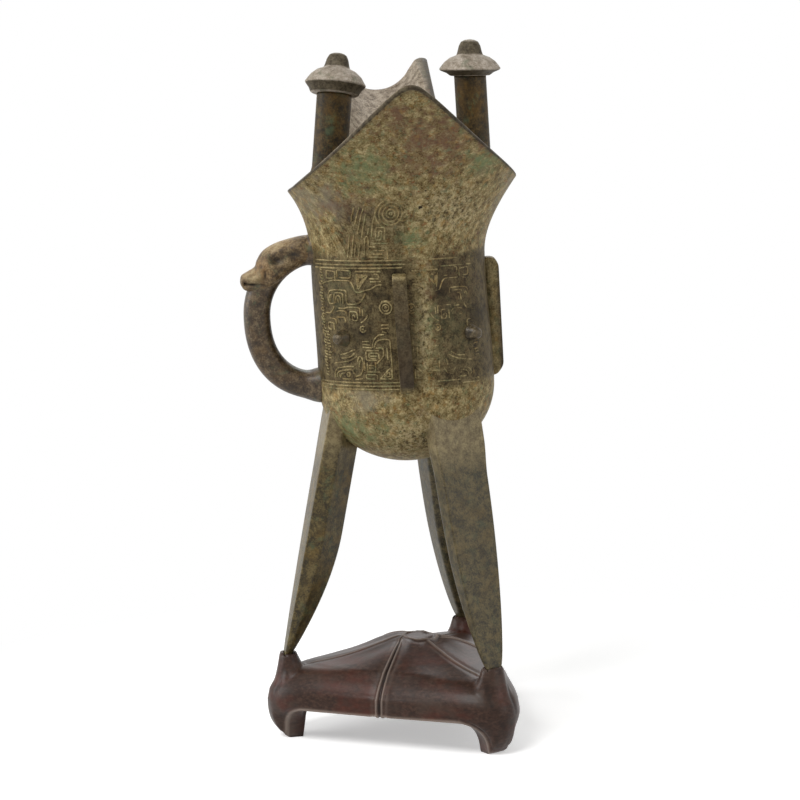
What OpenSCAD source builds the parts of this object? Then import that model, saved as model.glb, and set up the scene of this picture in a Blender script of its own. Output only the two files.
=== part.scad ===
// Three-legged bronze wine vessel with a spout, a pointed tail, two capped posts and a beast-head
// handle, standing in the three sockets of a carved hardwood stand.
// Millimetres. +Z is up and the floor is z = 0. The origin is on the floor under the middle of the
// three sockets. The spout points along +Y, the tail along -Y and the handle along -X.

/* [Stand] */
// Height of the middle of the stand above the floor
stand_h = 31.5; // [26:0.5:40]
// Distance from the middle of the stand to the middle of its sides
stand_side = 30.5; // [27:0.5:34]
// How far each foot bulges out beyond the outer face of its leg
foot_bulge = 6; // [3:0.1:9]
// Height above the floor at which the feet and the skirt are widest
belly_z = 13; // [10:0.5:16]
// How far each foot curls in between its widest point and the floor
foot_curl = 6.2; // [4:0.1:8]
// Depth of the pad that each foot stands on, measured outwards from the middle
pad_depth = 4.8; // [4:0.1:8]
// How far the sides curl in between their widest line and the skirt's lower edge
side_curl = 1.6; // [1:0.1:5]
// Thickness of the skirt at its lower edge
skirt_t = 1.8; // [1.2:0.1:3]
// Radius of the raised collar round a socket
collar_r = 3.4; // [3.2:0.1:5]
// Height of the skirt's lower edge between the feet
skirt_z = 10.8; // [6:0.1:14]
// Thickness of the wood between a saddle and the hollow under the stand
stand_web = 3.6; // [2.5:0.1:6]
// Height of the socket rims above the floor
socket_z = 28; // [26:0.5:32]
// Drop from the socket rims to the saddles between them and the middle
saddle_drop = 3.7; // [2:0.1:6]
// Depth of each socket
socket_deep = 3; // [2:0.1:5]
// Gap left round a leg tip in its socket
socket_gap = 0.3; // [0.2:0.05:0.5]
// Turn of the sockets and legs about the upright axis, away from the line of spout and tail
leg_turn = 2.5; // [-10:0.5:10]

/* [Bowl] */
// Height of the bowl's lowest point above the leg tips
leg_h = 65.8; // [56:0.2:76]
// Largest radius of the bowl
bowl_r = 28.6; // [26:0.1:31]
// Height of the rounded bottom of the bowl
bowl_round_h = 25.2; // [20:0.2:30]
// Height of the upright wall from the rounded bottom to the neck
barrel_h = 43; // [38:0.5:50]
// Radius at the neck
neck_r = 28.2; // [25:0.1:30]
// Sideways drift of the neck towards the handle
neck_sway = 1.6; // [0:0.1:2]
// Thickness of the bronze wall of the bowl
wall = 2.2; // [1.6:0.1:3]
// Thickness of the bronze wall at the rim
rim_wall = 1.8; // [1.2:0.1:2.6]
// Thickness of the bronze wall at the rim of the spout
spout_wall = 2.8; // [1.8:0.1:3.4]
// Thickness of the wall at the two end corners of the spout
spout_corner_wall = 4.2; // [2.8:0.1:5]

/* [Mouth] */
// Height of the mouth's side corners above the neck
mouth_rise = 23.5; // [18:0.5:30]
// Half of the width across the mouth's rounded side corners
mouth_hw = 37; // [34:0.5:42]
// How far the side corners are rounded back
corner_cut = 3; // [0.5:0.1:4]
// Place of the side corners along the line from tail to spout
corner_y = -6; // [-10:0.5:0]
// Length along which the mouth narrows from its corners to the spout
mouth_taper = 22; // [16:0.5:30]
// Distance from the axis to the tip of the tail
tail_len = 62; // [52:0.5:72]
// Height of the tail tip above the side corners
tail_rise = 36.5; // [28:0.5:44]
// Rounding of the tail tip
tail_round = 4; // [1:0.1:6]
// Distance from the axis to the end of the spout
spout_len = 102; // [88:0.5:112]
// Half of the width of the spout
spout_hw = 17.3; // [14:0.1:20]
// Height of the spout's end corners above the side corners
spout_rise = 29; // [22:0.5:36]
// Depth of the outside of the spout at its end
spout_deep = 12.4; // [10:0.1:16]
// Sideways tilt of the rim in degrees, lower on the handle side
rim_tilt = 1.8; // [0:0.1:3]

/* [Legs] */
// Distance from the axis to the outer face of each leg tip
leg_out_r = 43.2; // [42:0.1:44]
// Splay of the outer face of each leg in degrees from upright
leg_splay = 11.7; // [9:0.1:14]
// Width of the outer face where a leg meets the bowl
leg_root_w = 18; // [14:0.1:20]
// Width of the outer face at the tip
leg_tip_w = 5.6; // [4.6:0.1:6]
// Depth from the outer face to the inner edge where a leg meets the bowl
leg_root_d = 12.3; // [10:0.1:14]
// Depth at the tip
leg_tip_d = 2.8; // [2.4:0.1:3]
// Height over which the depth grows from tip to full
leg_deepen_h = 40; // [30:1:50]
// Height over which the width grows from tip to full
leg_widen_h = 63; // [50:1:64]
// Share of the depth that the flat side of a leg takes before it turns to the inner edge
leg_flat = 0.44; // [0.3:0.01:0.6]

/* [Handle] */
// Thickness of the handle's strap
strap_t = 8.7; // [7:0.1:10]
// Width of the handle's strap
strap_w = 9.6; // [8:0.1:12]
// Distance from the axis to the middle of the strap at its outermost point
loop_out = 47.9; // [44:0.1:52]
// Height of the strap's lower root above the rounded bottom of the bowl
loop_low = 0.5; // [-1:0.1:4]
// Height of the middle of the loop above its lower root
loop_mid = 23.5; // [20:0.5:30]
// Height of the strap's upper root above the middle of the loop
loop_high = 21; // [18:0.5:26]
// Height of the beast head's neck above the strap's lower root
head_up = 45.3; // [40:0.1:48]
// Width of the beast head across its brows
head_w = 13; // [11:0.1:16]
// Height of the beast head at its neck
head_h = 9.4; // [8:0.1:12]
// Height of the snout
snout_h = 5.4; // [4:0.1:9]
// Drop from the neck of the beast head to the tip of its snout
head_drop = 10.3; // [8:0.1:15]
// Radius of the two brow bosses
brow_r = 2.3; // [1.6:0.1:3]
// Radius of the rolled lip across the tip of the snout
lip_r = 2; // [1.4:0.1:2.6]
// Distance from the axis to the tip of the snout
snout_out = 53.2; // [49:0.1:56]

/* [Posts] */
// Distance from the axis of the post on the handle side, at the rim
post_x_handle = 22.8; // [20:0.1:25]
// Distance from the axis of the post on the far side, at the rim
post_x_far = 25.3; // [22:0.1:27]
// Place of both posts along the line from tail to spout
post_y = 9; // [6:0.5:14]
// Inward lean in degrees of the post on the handle side
post_lean_handle = 5.8; // [0:0.1:8]
// Inward lean in degrees of the post on the far side
post_lean_far = 1.9; // [0:0.1:6]
// Height of the shaft of the post on the handle side above the side corners
post_h_handle = 28.4; // [22:0.1:34]
// Height of the shaft of the post on the far side above the side corners
post_h_far = 31.2; // [24:0.1:38]
// Backward tilt in degrees of the cap on the handle side
cap_tilt_handle = 14; // [0:0.5:18]
// Backward tilt in degrees of the cap on the far side
cap_tilt_far = 5; // [0:0.5:18]
// Sideways tilt in degrees of the cap on the handle side, against its shaft
cap_turn_handle = 2.5; // [0:0.5:8]
// Sideways tilt in degrees of the cap on the far side, against its shaft
cap_turn_far = 3; // [0:0.5:8]
// Width by which the foot of a post spreads on the rim
post_foot = 1.6; // [0:0.1:3]
// Radius of the shaft on the handle side
post_r_handle = 5.7; // [4.6:0.1:6.2]
// Radius of the shaft on the far side
post_r_far = 5.2; // [4.6:0.1:6.2]
// Length of the root that runs down the inside of the wall below the rim
post_root = 14; // [10:0.5:18]

/* [Caps] */
// Radius of the caps
cap_r = 10; // [8.5:0.1:12]
// Height of the sloping top of the cap on the handle side
cap_slope_handle = 4.6; // [3:0.1:6]
// Height of the sloping top of the cap on the far side
cap_slope_far = 3.9; // [3:0.1:6]
// Height of the hollow edge of the cap on the handle side
cap_edge_handle = 3; // [1:0.1:4]
// Height of the hollow edge of the cap on the far side
cap_edge_far = 1.8; // [0.8:0.1:3]
// Radius at the lower end of that edge on the handle side
cap_foot_handle = 7.9; // [6:0.1:9]
// Radius at the lower end of that edge on the far side
cap_foot_far = 6.6; // [5.5:0.1:9]
// Height of the rounded lip at the widest line of a cap
cap_lip_h = 1.2; // [0.6:0.1:2]
// Radius of the finial at its foot
finial_r = 4; // [3:0.1:5]
// Height of the finial
finial_h = 4.9; // [3.5:0.1:7]

/* [Flanges] */
// Thickness of the upright flanges
flange_t = 4.4; // [3:0.1:6]
// How far the flanges stand out from the bowl
flange_out = 4; // [2:0.1:5]
// Height of the slope at the flanges' lower end
flange_bevel = 3.4; // [2:0.1:6]
// Rounding at the flanges' upper end
flange_top = 2.5; // [1:0.1:4]
// Height of the flanges
flange_h = 38.7; // [30:0.1:40]
// Height of the flanges' lower end above the rounded bottom of the bowl
flange_low = 1.7; // [1:0.1:5]
// Offset of the tail flange from the tail, in degrees towards the handle
flange_off = 5; // [0:0.5:8]

/* [Eyes] */
// Angle of each eye boss from the nearest flange, in degrees
eye_turn = 46; // [38:0.5:52]
// Height of the eye bosses above the rounded bottom of the bowl
eye_up = 19; // [14:0.5:26]
// Radius of an eye boss at its foot
eye_r = 2.8; // [2:0.1:3.6]
// Radius of an eye boss at its tip
eye_tip_r = 1.7; // [1:0.1:2.4]
// How far an eye boss stands out from the bowl
eye_out = 3.8; // [2.5:0.1:5]

/* [Smoothness] */
// Facets round the body of the vessel
body_sides = 60; // [48:12:72]
// Rings from the neck to the rim
mouth_rings = 10; // [8:1:14]

/* [Hidden] */
bronze = "#6b6245";
dark_bronze = "#4a4638";
grey_bronze = "#8f8676";
hardwood = "#43211d";
tip_z = socket_z - socket_deep;
bowl_z = tip_z + leg_h;
socket_r = leg_out_r - leg_tip_d / 2;
foot_r = leg_out_r + foot_bulge;
saddle_z = socket_z - saddle_drop;
hollow_z = saddle_z - stand_web;
round_z = bowl_z + bowl_round_h;
neck_z = round_z + barrel_h;
corner_z = neck_z + mouth_rise;
// How far a piece that is cast on reaches into the bowl's wall
tang = 0.55 * wall;
// Angle on the rim at which the side of the spout turns into its end
lip_q = 66;
leg_turns = [-90, 30, 150];

function mix(a, b, u) = a + (b - a) * u;
function ease(u) = u * u * (3 - 2 * u);
function clamp(u) = max(0, min(1, u));
function unit(v) = v / norm(v);
// A place at radius r and height z, turned by the angle a from the tail towards the far side
function around(r, a, z) = [r * sin(a), -r * cos(a), z];

// Faces of a closed skin of rings between two poles, all rings with the same number of points
function skin_faces(rings, sides) = concat(
  [for (i = [0:sides - 1]) [0, 1 + i, 1 + (i + 1) % sides]],
  [for (j = [0:rings - 2], i = [0:sides - 1], k = [0, 1])
    let (a = 1 + j * sides, b = a + sides, n = (i + 1) % sides)
    k == 0 ? [a + i, b + i, b + n] : [a + i, b + n, a + n]],
  [for (i = [0:sides - 1])
    let (a = 1 + (rings - 1) * sides)
    [1 + rings * sides, a + (i + 1) % sides, a + i]]
);

module skin(pole_a, rings, pole_b) {
  points = concat([pole_a], [for (ring = rings) each ring], [pole_b]);
  polyhedron(points, skin_faces(len(rings), len(rings[0])));
}

function middle(ring) = [for (k = [0:2]) let (s = [for (p = ring) p[k]]) sum(s) / len(s)];
function sum(v, i = 0) = i < len(v) ? v[i] + sum(v, i + 1) : 0;

// Outline of the rim, by an angle q that runs from the tail at -90 through a side corner at 0 to
// the middle of the spout's end at 90
function tail_rim(q) =
  let (
    full = mouth_hw + corner_cut,
    x = full * pow(cos(q), 1.54),
    drop = (norm([x, tail_round]) - tail_round) / (norm([full, tail_round]) - tail_round)
  )
  [
    x - corner_cut * exp((x - full) / (1.15 * corner_cut)),
    corner_y - (tail_len + corner_y) * pow(-sin(q), 1.35),
    corner_z + tail_rise * pow(max(0, 1 - drop), 1.1)
  ];
function side_rim(q) =
  let (
    s = pow(q / lip_q, 1.4),
    y = mix(corner_y, spout_len, s),
    narrow = exp(-pow((y - corner_y) / mouth_taper, 1.5))
  )
  [mix(spout_hw, mouth_hw, narrow), y, corner_z + spout_rise * pow(s, 1.25)];
function end_rim(q) =
  let (w = (90 - q) / (90 - lip_q))
  [spout_hw * w, spout_len, corner_z + spout_rise - spout_deep * (1 - pow(w, 2.2))];
function half_rim(q) = q < 0 ? tail_rim(q) : q <= lip_q ? side_rim(q) : end_rim(q);
function rim(q) =
  let (a = q < -90 ? q + 360 : q, left = a > 90, p = half_rim(left ? 180 - a : a), x = left ? -p[0] : p[0])
  [x, p[1], p[2] + x * tan(rim_tilt)];

// Outer surface of the body: v runs 0 to 1 up the rounded bottom, to 2 at the neck, to 3 at the rim
function flare(q) = 1.6 + 0.2 * pow(cos(q), 2);
function sway(v) = v > 1 ? -neck_sway * pow(sin(90 * (v - 1)), 2) : 0;
function body_point(q, v) =
  v <= 1 ? let (r = bowl_r * sin(90 * v))
    [r * cos(q), r * sin(q), round_z - bowl_round_h * cos(90 * v)] :
  v <= 2 ? let (r = mix(bowl_r, neck_r, ease(v - 1)))
    [r * cos(q) + sway(v), r * sin(q), mix(round_z, neck_z, v - 1)] :
  let (p = rim(q), t = v - 2, f = pow(t, flare(q)))
    [mix(neck_r * cos(q), p[0], f) + sway(v), mix(neck_r * sin(q), p[1], f), mix(neck_z, p[2], t)];
function body_normal(q, v) =
  let (d = 0.02, a = min(v + d, 3), b = v - d)
  unit(cross(body_point(q + 1, v) - body_point(q - 1, v), body_point(q, a) - body_point(q, b)));
// The wall thins towards the rim, least along the spout
function wall_at(q, v) =
  let (spout = ease(clamp((sin(q) - 0.4) / 0.5)))
  v < 2 ? wall : mix(wall, mix(rim_wall, spout_wall, spout), v - 2);
// At the spout's two end corners the rim is a broad level pad, reckoned straight across the spout
function spout_corner(q, v) = exp(-pow((abs(q - 90) - 90 + lip_q) / 6, 2)) * clamp((v - 2.6) / 0.4);
function inner_point(q, v) =
  let (k = spout_corner(q, v), n = body_normal(q, v), across = unit([n[0], (1 - k) * n[1], (1 - k) * n[2]]))
  body_point(q, v) - mix(wall_at(q, v), spout_corner_wall, k) * across;
// Radius of the bowl's outside at a height between its bottom and its neck
function bowl_radius(z) =
  z < round_z ? bowl_r * sqrt(max(0, 1 - pow((round_z - z) / bowl_round_h, 2))) :
  mix(bowl_r, neck_r, ease((z - round_z) / barrel_h));
function bowl_sway(z) = z > round_z ? sway(1 + (z - round_z) / barrel_h) : 0;

module vessel_body() {
  steps = concat(
    [for (k = [1:7]) k / 7],
    [for (k = [1:4]) 1 + k / 4],
    [for (k = [1:mouth_rings]) 2 + k / mouth_rings]
  );
  turns = [for (i = [0:body_sides - 1]) -90 + i * 360 / body_sides];
  outer = [for (v = steps) [for (q = turns) body_point(q, v)]];
  inner = [for (j = [len(steps) - 1:-1:0]) [for (q = turns) inner_point(q, steps[j])]];
  color(bronze) skin([0, 0, bowl_z], concat(outer, inner), [0, 0, bowl_z + wall]);
}

// Solid of revolution that the cast-on pieces are cut back to, a little inside the bowl's outside
module bowl_core() {
  outline = [for (k = [0:10])
    [max(0, (bowl_r - tang) * sin(9 * k)), round_z - (bowl_round_h - tang) * cos(9 * k)]];
  rotate_extrude($fn = 96) polygon(concat(outline, [[bowl_r - tang, round_z + 8], [0, round_z + 8]]));
}

// A leg's level section: flat outer face, two flat sides and a blunt inner edge
function leg_growth(h, full, start) = pow(sin(90 * clamp(h / full)), start);
function leg_section(z, a) =
  let (
    h = z - socket_z,
    w = mix(leg_tip_w, leg_root_w, leg_growth(h, leg_widen_h, 0.65)) / 2,
    d = mix(leg_tip_d, leg_root_d, leg_growth(h, leg_deepen_h, 0.9)),
    r = leg_out_r - max(0, h) * tan(leg_splay),
    side = [[w, 0], [0.94 * w, leg_flat * d], [0.16 * w, d]],
    outline = concat(side, [for (k = [2:-1:0]) [-side[k][0], side[k][1]]])
  )
  [for (p = outline) around(r - p[1], a, z) + [p[0] * cos(a), p[0] * sin(a), 0]];

module leg(a) {
  top_z = round_z - 4;
  rise = top_z - socket_z;
  levels = concat([tip_z, socket_z], [for (k = [1:11]) socket_z + rise * pow(k / 11, 1.2)]);
  rings = [for (z = levels) leg_section(z, a + leg_turn)];
  color(dark_bronze) difference() {
    skin(middle(rings[0]), rings, middle(rings[len(rings) - 1]));
    bowl_core();
  }
}
module leg_handle_side() { leg(leg_turns[0]); }
module leg_tail_side() { leg(leg_turns[1]); }
module leg_spout_side() { leg(leg_turns[2]); }

// Middle line of the handle's strap in the plane of the handle, from its upper to its lower root
loop_z = round_z + loop_low;
mid_z = loop_z + loop_mid;
strap_root_x = -bowl_radius(loop_z) + tang;
function strap_middle(u) =
  let (a = 90 - 180 * u, reach = -strap_root_x - loop_out, up = a > 0)
  [
    strap_root_x + reach * pow(abs(cos(a)), up ? 1 : 0.87),
    mid_z + (up ? loop_high * sin(a) : -loop_mid * pow(-sin(a), 0.87))
  ];
function strap_ring(u) =
  let (
    e = 0.01,
    c = strap_middle(u),
    along = unit(strap_middle(min(1, u + e)) - strap_middle(max(0, u - e))),
    side = [-along[1], along[0]]
  )
  [for (k = [0:11])
    let (a = -30 * k - 15, s = cos(a), w = sin(a), n = side * strap_t / 2 * sign(s) * pow(abs(s), 0.7))
    [c[0] + n[0], strap_w / 2 * sign(w) * pow(abs(w), 0.7), c[1] + n[1]]];

module handle_loop() {
  rings = [for (k = [0:20]) strap_ring(k / 20)];
  color(dark_bronze) skin(middle(rings[0]), rings, middle(rings[20]));
}

// The beast head runs from the bowl's neck out and down over the top of the strap
head_z = loop_z + head_up;
function head_middle(u) =
  let (root_x = -bowl_radius(head_z) + tang - neck_sway, reach = snout_out + root_x - lip_r / 2)
  [root_x - reach * pow(sin(84 * u), 1.05), head_z - head_drop * pow(u, 2.4)];
function head_size(u) = [
  mix(head_h, snout_h, ease(clamp((u - 0.66) / 0.22))),
  (u < 0.45 ? mix(0.78, 1, ease(u / 0.45)) : mix(1, 0.62, ease((u - 0.45) / 0.55))) * head_w
];
function head_ring(u) =
  let (
    e = 0.01,
    c = head_middle(u),
    along = unit(head_middle(min(1, u + e)) - head_middle(max(0, u - e))),
    side = [-along[1], along[0]],
    size = head_size(u)
  )
  [for (k = [0:11])
    let (a = -30 * k - 15, n = side * size[0] / 2 * cos(a))
    [c[0] + n[0], size[1] / 2 * sin(a), c[1] + n[1]]];

module beast_head() {
  rings = [for (k = [0:12]) head_ring(k / 12)];
  brow = head_middle(0.5);
  snout = head_middle(1);
  color(bronze) union() {
    skin(middle(rings[0]), rings, middle(rings[12]));
    for (s = [-1, 1]) translate([brow[0] - 1, s * 0.36 * head_w, brow[1] + 0.2 * head_h])
      sphere(r = brow_r, $fn = 24);
    translate([snout[0] + lip_r / 2, 0, snout[1] + 0.3 * lip_r]) rotate([90, 0, 0])
      cylinder(h = 0.56 * head_w, r = lip_r, center = true, $fn = 24);
  }
}

// Puts children on a post's axis, with the floor of the post at its origin
module on_post(side, x, lean) {
  rim_z = corner_z + side * x * tan(rim_tilt);
  translate([side * x, post_y, rim_z]) rotate([0, -side * lean, 0]) children();
}
// A post's root runs down the inside of the wall to this place in the middle of the wall
post_q = lip_q * pow((post_y - corner_y) / (spout_len - corner_y), 1 / 1.4);
function root_place(side) =
  let (q = side > 0 ? post_q : 180 - post_q, v = 3 - post_root / (rim(post_q)[2] - neck_z))
  body_point(q, v) - 0.75 * wall_at(q, v) * body_normal(q, v);
module post(side, x, lean, h, r, tilt, turn) {
  color(bronze) union() {
    on_post(side, x, lean) {
      hull() {
        cylinder(h = post_foot, r = r, $fn = 48);
        translate([0, 0, h]) rotate([-tilt, turn, 0]) mirror([0, 0, 1]) cylinder(h = 0.1, r = r, $fn = 48);
      }
      translate([0, 0, 0.1]) cylinder(h = 3 * post_foot, r1 = r + post_foot, r2 = r - 0.2, $fn = 40);
    }
    hull() {
      on_post(side, x, lean) translate([-0.25 * side * r, 0, 0.2])
        cylinder(h = post_foot, r = 0.7 * r, $fn = 32);
      translate(root_place(side)) sphere(r = 0.7 * rim_wall, $fn = 16);
    }
  }
}
module post_handle_side() {
  post(-1, post_x_handle, post_lean_handle, post_h_handle, post_r_handle, cap_tilt_handle, cap_turn_handle);
}
module post_far_side() {
  post(1, post_x_far, post_lean_far, post_h_far, post_r_far, cap_tilt_far, cap_turn_far);
}

module cap(side, x, lean, h, tilt, turn, foot, edge_h, slope_h) {
  lip = edge_h + cap_lip_h;
  top = lip + slope_h;
  color(grey_bronze) on_post(side, x, lean) translate([0, 0, h]) rotate([-tilt, turn, 0])
    rotate_extrude($fn = 96) polygon([
      [0, 0], [foot - 0.5, 0], [foot, 0.1 * edge_h], [mix(foot, cap_r, 0.3), 0.55 * edge_h],
      [cap_r - 0.3 * cap_lip_h, edge_h], [cap_r, edge_h + 0.4 * cap_lip_h], [cap_r - 0.3 * cap_lip_h, lip],
      [mix(finial_r, cap_r, 0.45), top - 0.35 * slope_h], [finial_r, top],
      [0.93 * finial_r, top + 0.62 * finial_h], [0.8 * finial_r, top + 0.84 * finial_h],
      [0.45 * finial_r, top + 0.98 * finial_h], [0, top + finial_h]
    ]);
}
module cap_handle_side() {
  cap(-1, post_x_handle, post_lean_handle, post_h_handle, cap_tilt_handle, cap_turn_handle,
    cap_foot_handle, cap_edge_handle, cap_slope_handle);
}
module cap_far_side() {
  cap(1, post_x_far, post_lean_far, post_h_far, cap_tilt_far, cap_turn_far,
    cap_foot_far, cap_edge_far, cap_slope_far);
}

// An upright flange at the angle a from the tail, its outline drawn in the plane through the axis
module flange(a) {
  low = round_z + flange_low;
  high = low + flange_h;
  root_r = bowl_radius(high) - tang;
  face = bowl_r + flange_out;
  color(dark_bronze) translate([bowl_sway(high) / 2, 0, 0]) rotate([0, 0, a - 90])
    translate([0, flange_t / 2, 0]) rotate([90, 0, 0]) linear_extrude(flange_t) polygon([
      [root_r, low], [bowl_radius(low) + 0.4 * flange_out, low],
      [mix(bowl_r, face, 0.77), low + flange_bevel / 2], [face, low + flange_bevel],
      [mix(bowl_r, face, 0.8), high - flange_top], [mix(bowl_r, face, 0.55), high - 0.25 * flange_top],
      [mix(bowl_r, face, 0.26), high], [root_r, high]
    ]);
}
module flange_tail() { flange(-flange_off); }
module flange_spout() { flange(180); }
module flange_far_side() { flange(90); }

module eye_bosses() {
  z = round_z + eye_up;
  r = bowl_radius(z);
  color(dark_bronze) for (a = [-eye_turn, eye_turn, 180 - eye_turn, 180 + eye_turn])
    translate([bowl_sway(z), 0, z]) rotate([0, 0, a - 90]) rotate([0, 90, 0]) translate([0, 0, r - tang])
      rotate_extrude($fn = 48) polygon([
        [0, 0], [eye_r, 0], [eye_r, tang], [mix(eye_r, eye_tip_r, 0.8), tang + 0.6 * eye_out],
        [eye_tip_r, tang + 0.85 * eye_out], [0.6 * eye_tip_r, tang + eye_out], [0, tang + eye_out]
      ]);
}

// Half of the turn of a foot's pad and the turn of the arch beside it
foot_turn = 4.5;
arch_turn = 13;
// Carved stand. t is the angle from the nearest foot, 0 at the foot and 60 in the middle of a side
function stand_edge(t) = pow(pow(stand_side / cos(60 - t), -12) + pow(foot_r, -12), -1 / 12);
// Height of the top along an arm and along the middle of a side, by the share of the way out:
// 2 is the height of the middle, 1 that of the saddles and 0 that of the widest line
arm_top = [[0, 2], [0.12, 1.98], [0.23, 1.73], [0.41, 1.34], [0.59, 1.08], [0.7, 0.98], [0.8, 0.9],
  [0.88, 0.74], [0.94, 0.55], [0.98, 0.32], [0.995, 0.16], [1, 0]];
side_top = [[0, 2], [0.19, 1.98], [0.35, 1.85], [0.49, 1.65], [0.63, 1.35], [0.74, 1.07], [0.84, 0.81],
  [0.91, 0.61], [0.96, 0.41], [0.99, 0.2], [1, 0]];
function stand_top(r, t) =
  let (
    share = r / stand_edge(t),
    level = mix(lookup(share, arm_top), lookup(share, side_top), ease(clamp((t - 6) / 54))),
    base = level > 1 ? mix(saddle_z, stand_h, level - 1) : mix(belly_z, saddle_z, level),
    away = norm([(r * cos(t) - socket_r) / 0.76, r * sin(t)]),
    swell = pow(1 - clamp(away / collar_r - 1), 2)
  )
  mix(base, socket_z, swell);
// The skirt's lower edge springs from each foot in a quarter of an ellipse
function skirt(t) = skirt_z * sqrt(1 - pow(1 - clamp((t - foot_turn) / arch_turn), 2));
function stand_column(a, t) =
  let (
    edge = stand_edge(t),
    side = ease(clamp(t / (foot_turn + arch_turn))),
    curl = mix(foot_curl, side_curl, side),
    low = skirt(t),
    inside = edge - curl - mix(pad_depth, skirt_t, side)
  )
  concat(
    [for (s = [0.12, 0.2, 0.3, 0.41, 0.5, 0.59, 0.66, 0.72, 0.76, 0.8, 0.84, 0.88, 0.91, 0.94, 0.97])
      around(s * edge, a, stand_top(s * edge, t))],
    [for (s = [0, 0.3, 0.55, 0.75, 0.9, 1]) around(edge - curl * pow(s, 3), a, mix(belly_z, low, s))],
    [around(inside, a, low)],
    [for (s = [[0.97, 0.35], [0.92, 0.7], [0.7, 0.95], [0.35, 1]])
      around(s[0] * inside, a, mix(low, hollow_z, s[1]))]
  );

module wooden_stand() {
  half = [2, 4, 6, 8.5, 12, 16, 21, 28, 36, 45, 53];
  offsets = concat([for (k = [10:-1:0]) -half[k]], [0], half, [60]);
  columns = [for (foot = leg_turns, o = offsets) stand_column(foot + leg_turn + o, abs(o))];
  rings = [for (k = [0:len(columns[0]) - 1]) [for (c = columns) c[k]]];
  flipped = [for (k = [len(rings) - 1:-1:0]) rings[k]];
  pocket = [leg_tip_w + 2 * socket_gap, leg_tip_d + 2 * socket_gap];
  color(hardwood) difference() {
    skin([0, 0, hollow_z], flipped, [0, 0, stand_h]);
    for (a = leg_turns) translate(around(socket_r, a + leg_turn, tip_z + stand_h))
      rotate([0, 0, a + leg_turn]) cube([pocket[0], pocket[1], 2 * stand_h], center = true);
  }
}

vessel_body();
leg_handle_side();
leg_tail_side();
leg_spout_side();
handle_loop();
beast_head();
post_handle_side();
post_far_side();
cap_handle_side();
cap_far_side();
flange_tail();
flange_spout();
flange_far_side();
eye_bosses();
wooden_stand();
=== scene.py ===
"""Bronze wine vessel with a spout, a pointed tail, capped posts and a beast-head handle, on its carved stand.

Lengths are worked out in millimetres, as in the part's own source, and turned to metres when a mesh is made.
+Z is up, +Y towards the spout, -Y towards the tail and -X towards the handle.
"""

import math

import bpy
import bmesh
import numpy as np
from mathutils import Matrix, Vector


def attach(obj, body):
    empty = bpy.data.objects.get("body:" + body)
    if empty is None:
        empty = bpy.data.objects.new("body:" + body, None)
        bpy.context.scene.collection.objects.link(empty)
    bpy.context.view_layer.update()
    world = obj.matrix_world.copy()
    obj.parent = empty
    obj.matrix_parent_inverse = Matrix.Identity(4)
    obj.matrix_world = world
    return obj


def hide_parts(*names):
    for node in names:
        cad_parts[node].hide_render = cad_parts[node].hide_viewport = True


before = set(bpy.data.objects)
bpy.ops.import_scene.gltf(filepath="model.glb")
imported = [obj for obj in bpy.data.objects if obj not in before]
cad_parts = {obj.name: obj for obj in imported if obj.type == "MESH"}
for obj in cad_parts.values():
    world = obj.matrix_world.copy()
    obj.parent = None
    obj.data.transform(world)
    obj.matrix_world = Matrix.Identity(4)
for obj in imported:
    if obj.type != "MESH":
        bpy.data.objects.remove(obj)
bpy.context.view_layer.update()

MM = 0.001


# Sizes of the real pieces, in millimetres

STAND_H, STAND_SIDE, FOOT_R, BELLY_Z, COLLAR_R = 31.5, 30.5, 49.2, 13.0, 3.4
FOOT_CURL, SIDE_CURL, PAD_DEPTH, SKIRT_T, SKIRT_Z, HOLLOW_Z = 6.2, 1.6, 4.8, 1.8, 10.8, 20.7
FOOT_TURN, ARCH_TURN = 4.5, 13.0
SOCKET_Z, SADDLE_Z, TIP_Z, SOCKET_R, SOCKET_GAP = 28.0, 24.3, 25.0, 41.8, 0.3
BOWL_Z, ROUND_Z, NECK_Z, CORNER_Z = 90.8, 116.0, 159.0, 182.5
BOWL_R, BOWL_ROUND_H, NECK_R, NECK_SWAY = 28.6, 25.2, 28.2, 1.6
WALL, RIM_WALL, SPOUT_WALL, SPOUT_CORNER_WALL = 2.2, 1.8, 2.8, 4.2
MOUTH_HW, CORNER_CUT, CORNER_Y, MOUTH_TAPER = 37.0, 3.0, -6.0, 22.0
TAIL_LEN, TAIL_RISE, TAIL_ROUND = 62.0, 36.5, 4.0
SPOUT_LEN, SPOUT_HW, SPOUT_RISE, SPOUT_DEEP, RIM_TILT, LIP_Q = 102.0, 17.3, 29.0, 12.4, 1.8, 66.0
LEG_OUT_R, LEG_SPLAY, LEG_ROOT_W, LEG_TIP_W = 43.2, 11.7, 18.0, 5.6
LEG_ROOT_D, LEG_TIP_D, LEG_DEEPEN_H, LEG_WIDEN_H, LEG_FLAT, LEG_TURN = 12.3, 2.8, 40.0, 63.0, 0.44, 2.5
STRAP_T, STRAP_W, LOOP_OUT, LOOP_Z, LOOP_MID, LOOP_HIGH = 8.7, 9.6, 47.9, 116.5, 23.5, 21.0
POST_Y, POST_FOOT, POST_ROOT = 9.0, 1.6, 14.0
POSTS = {
    "handle_side": dict(side=-1, x=22.8, lean=5.8, h=28.4, r=5.7, tilt=14.0, turn=2.5,
                        foot=7.9, edge=3.0, slope=4.6),
    "far_side": dict(side=1, x=25.3, lean=1.9, h=31.2, r=5.2, tilt=5.0, turn=3.0,
                     foot=6.6, edge=1.8, slope=3.9),
}
CAP_R, CAP_LIP_H, FINIAL_R, FINIAL_H = 10.0, 1.2, 4.0, 4.9
FLANGE_T, FLANGE_OUT, FLANGE_H, FLANGE_LOW, FLANGE_OFF = 4.4, 4.0, 38.7, 1.7, 5.0
FLANGE_BEVEL, FLANGE_TOP = 3.4, 2.5
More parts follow.
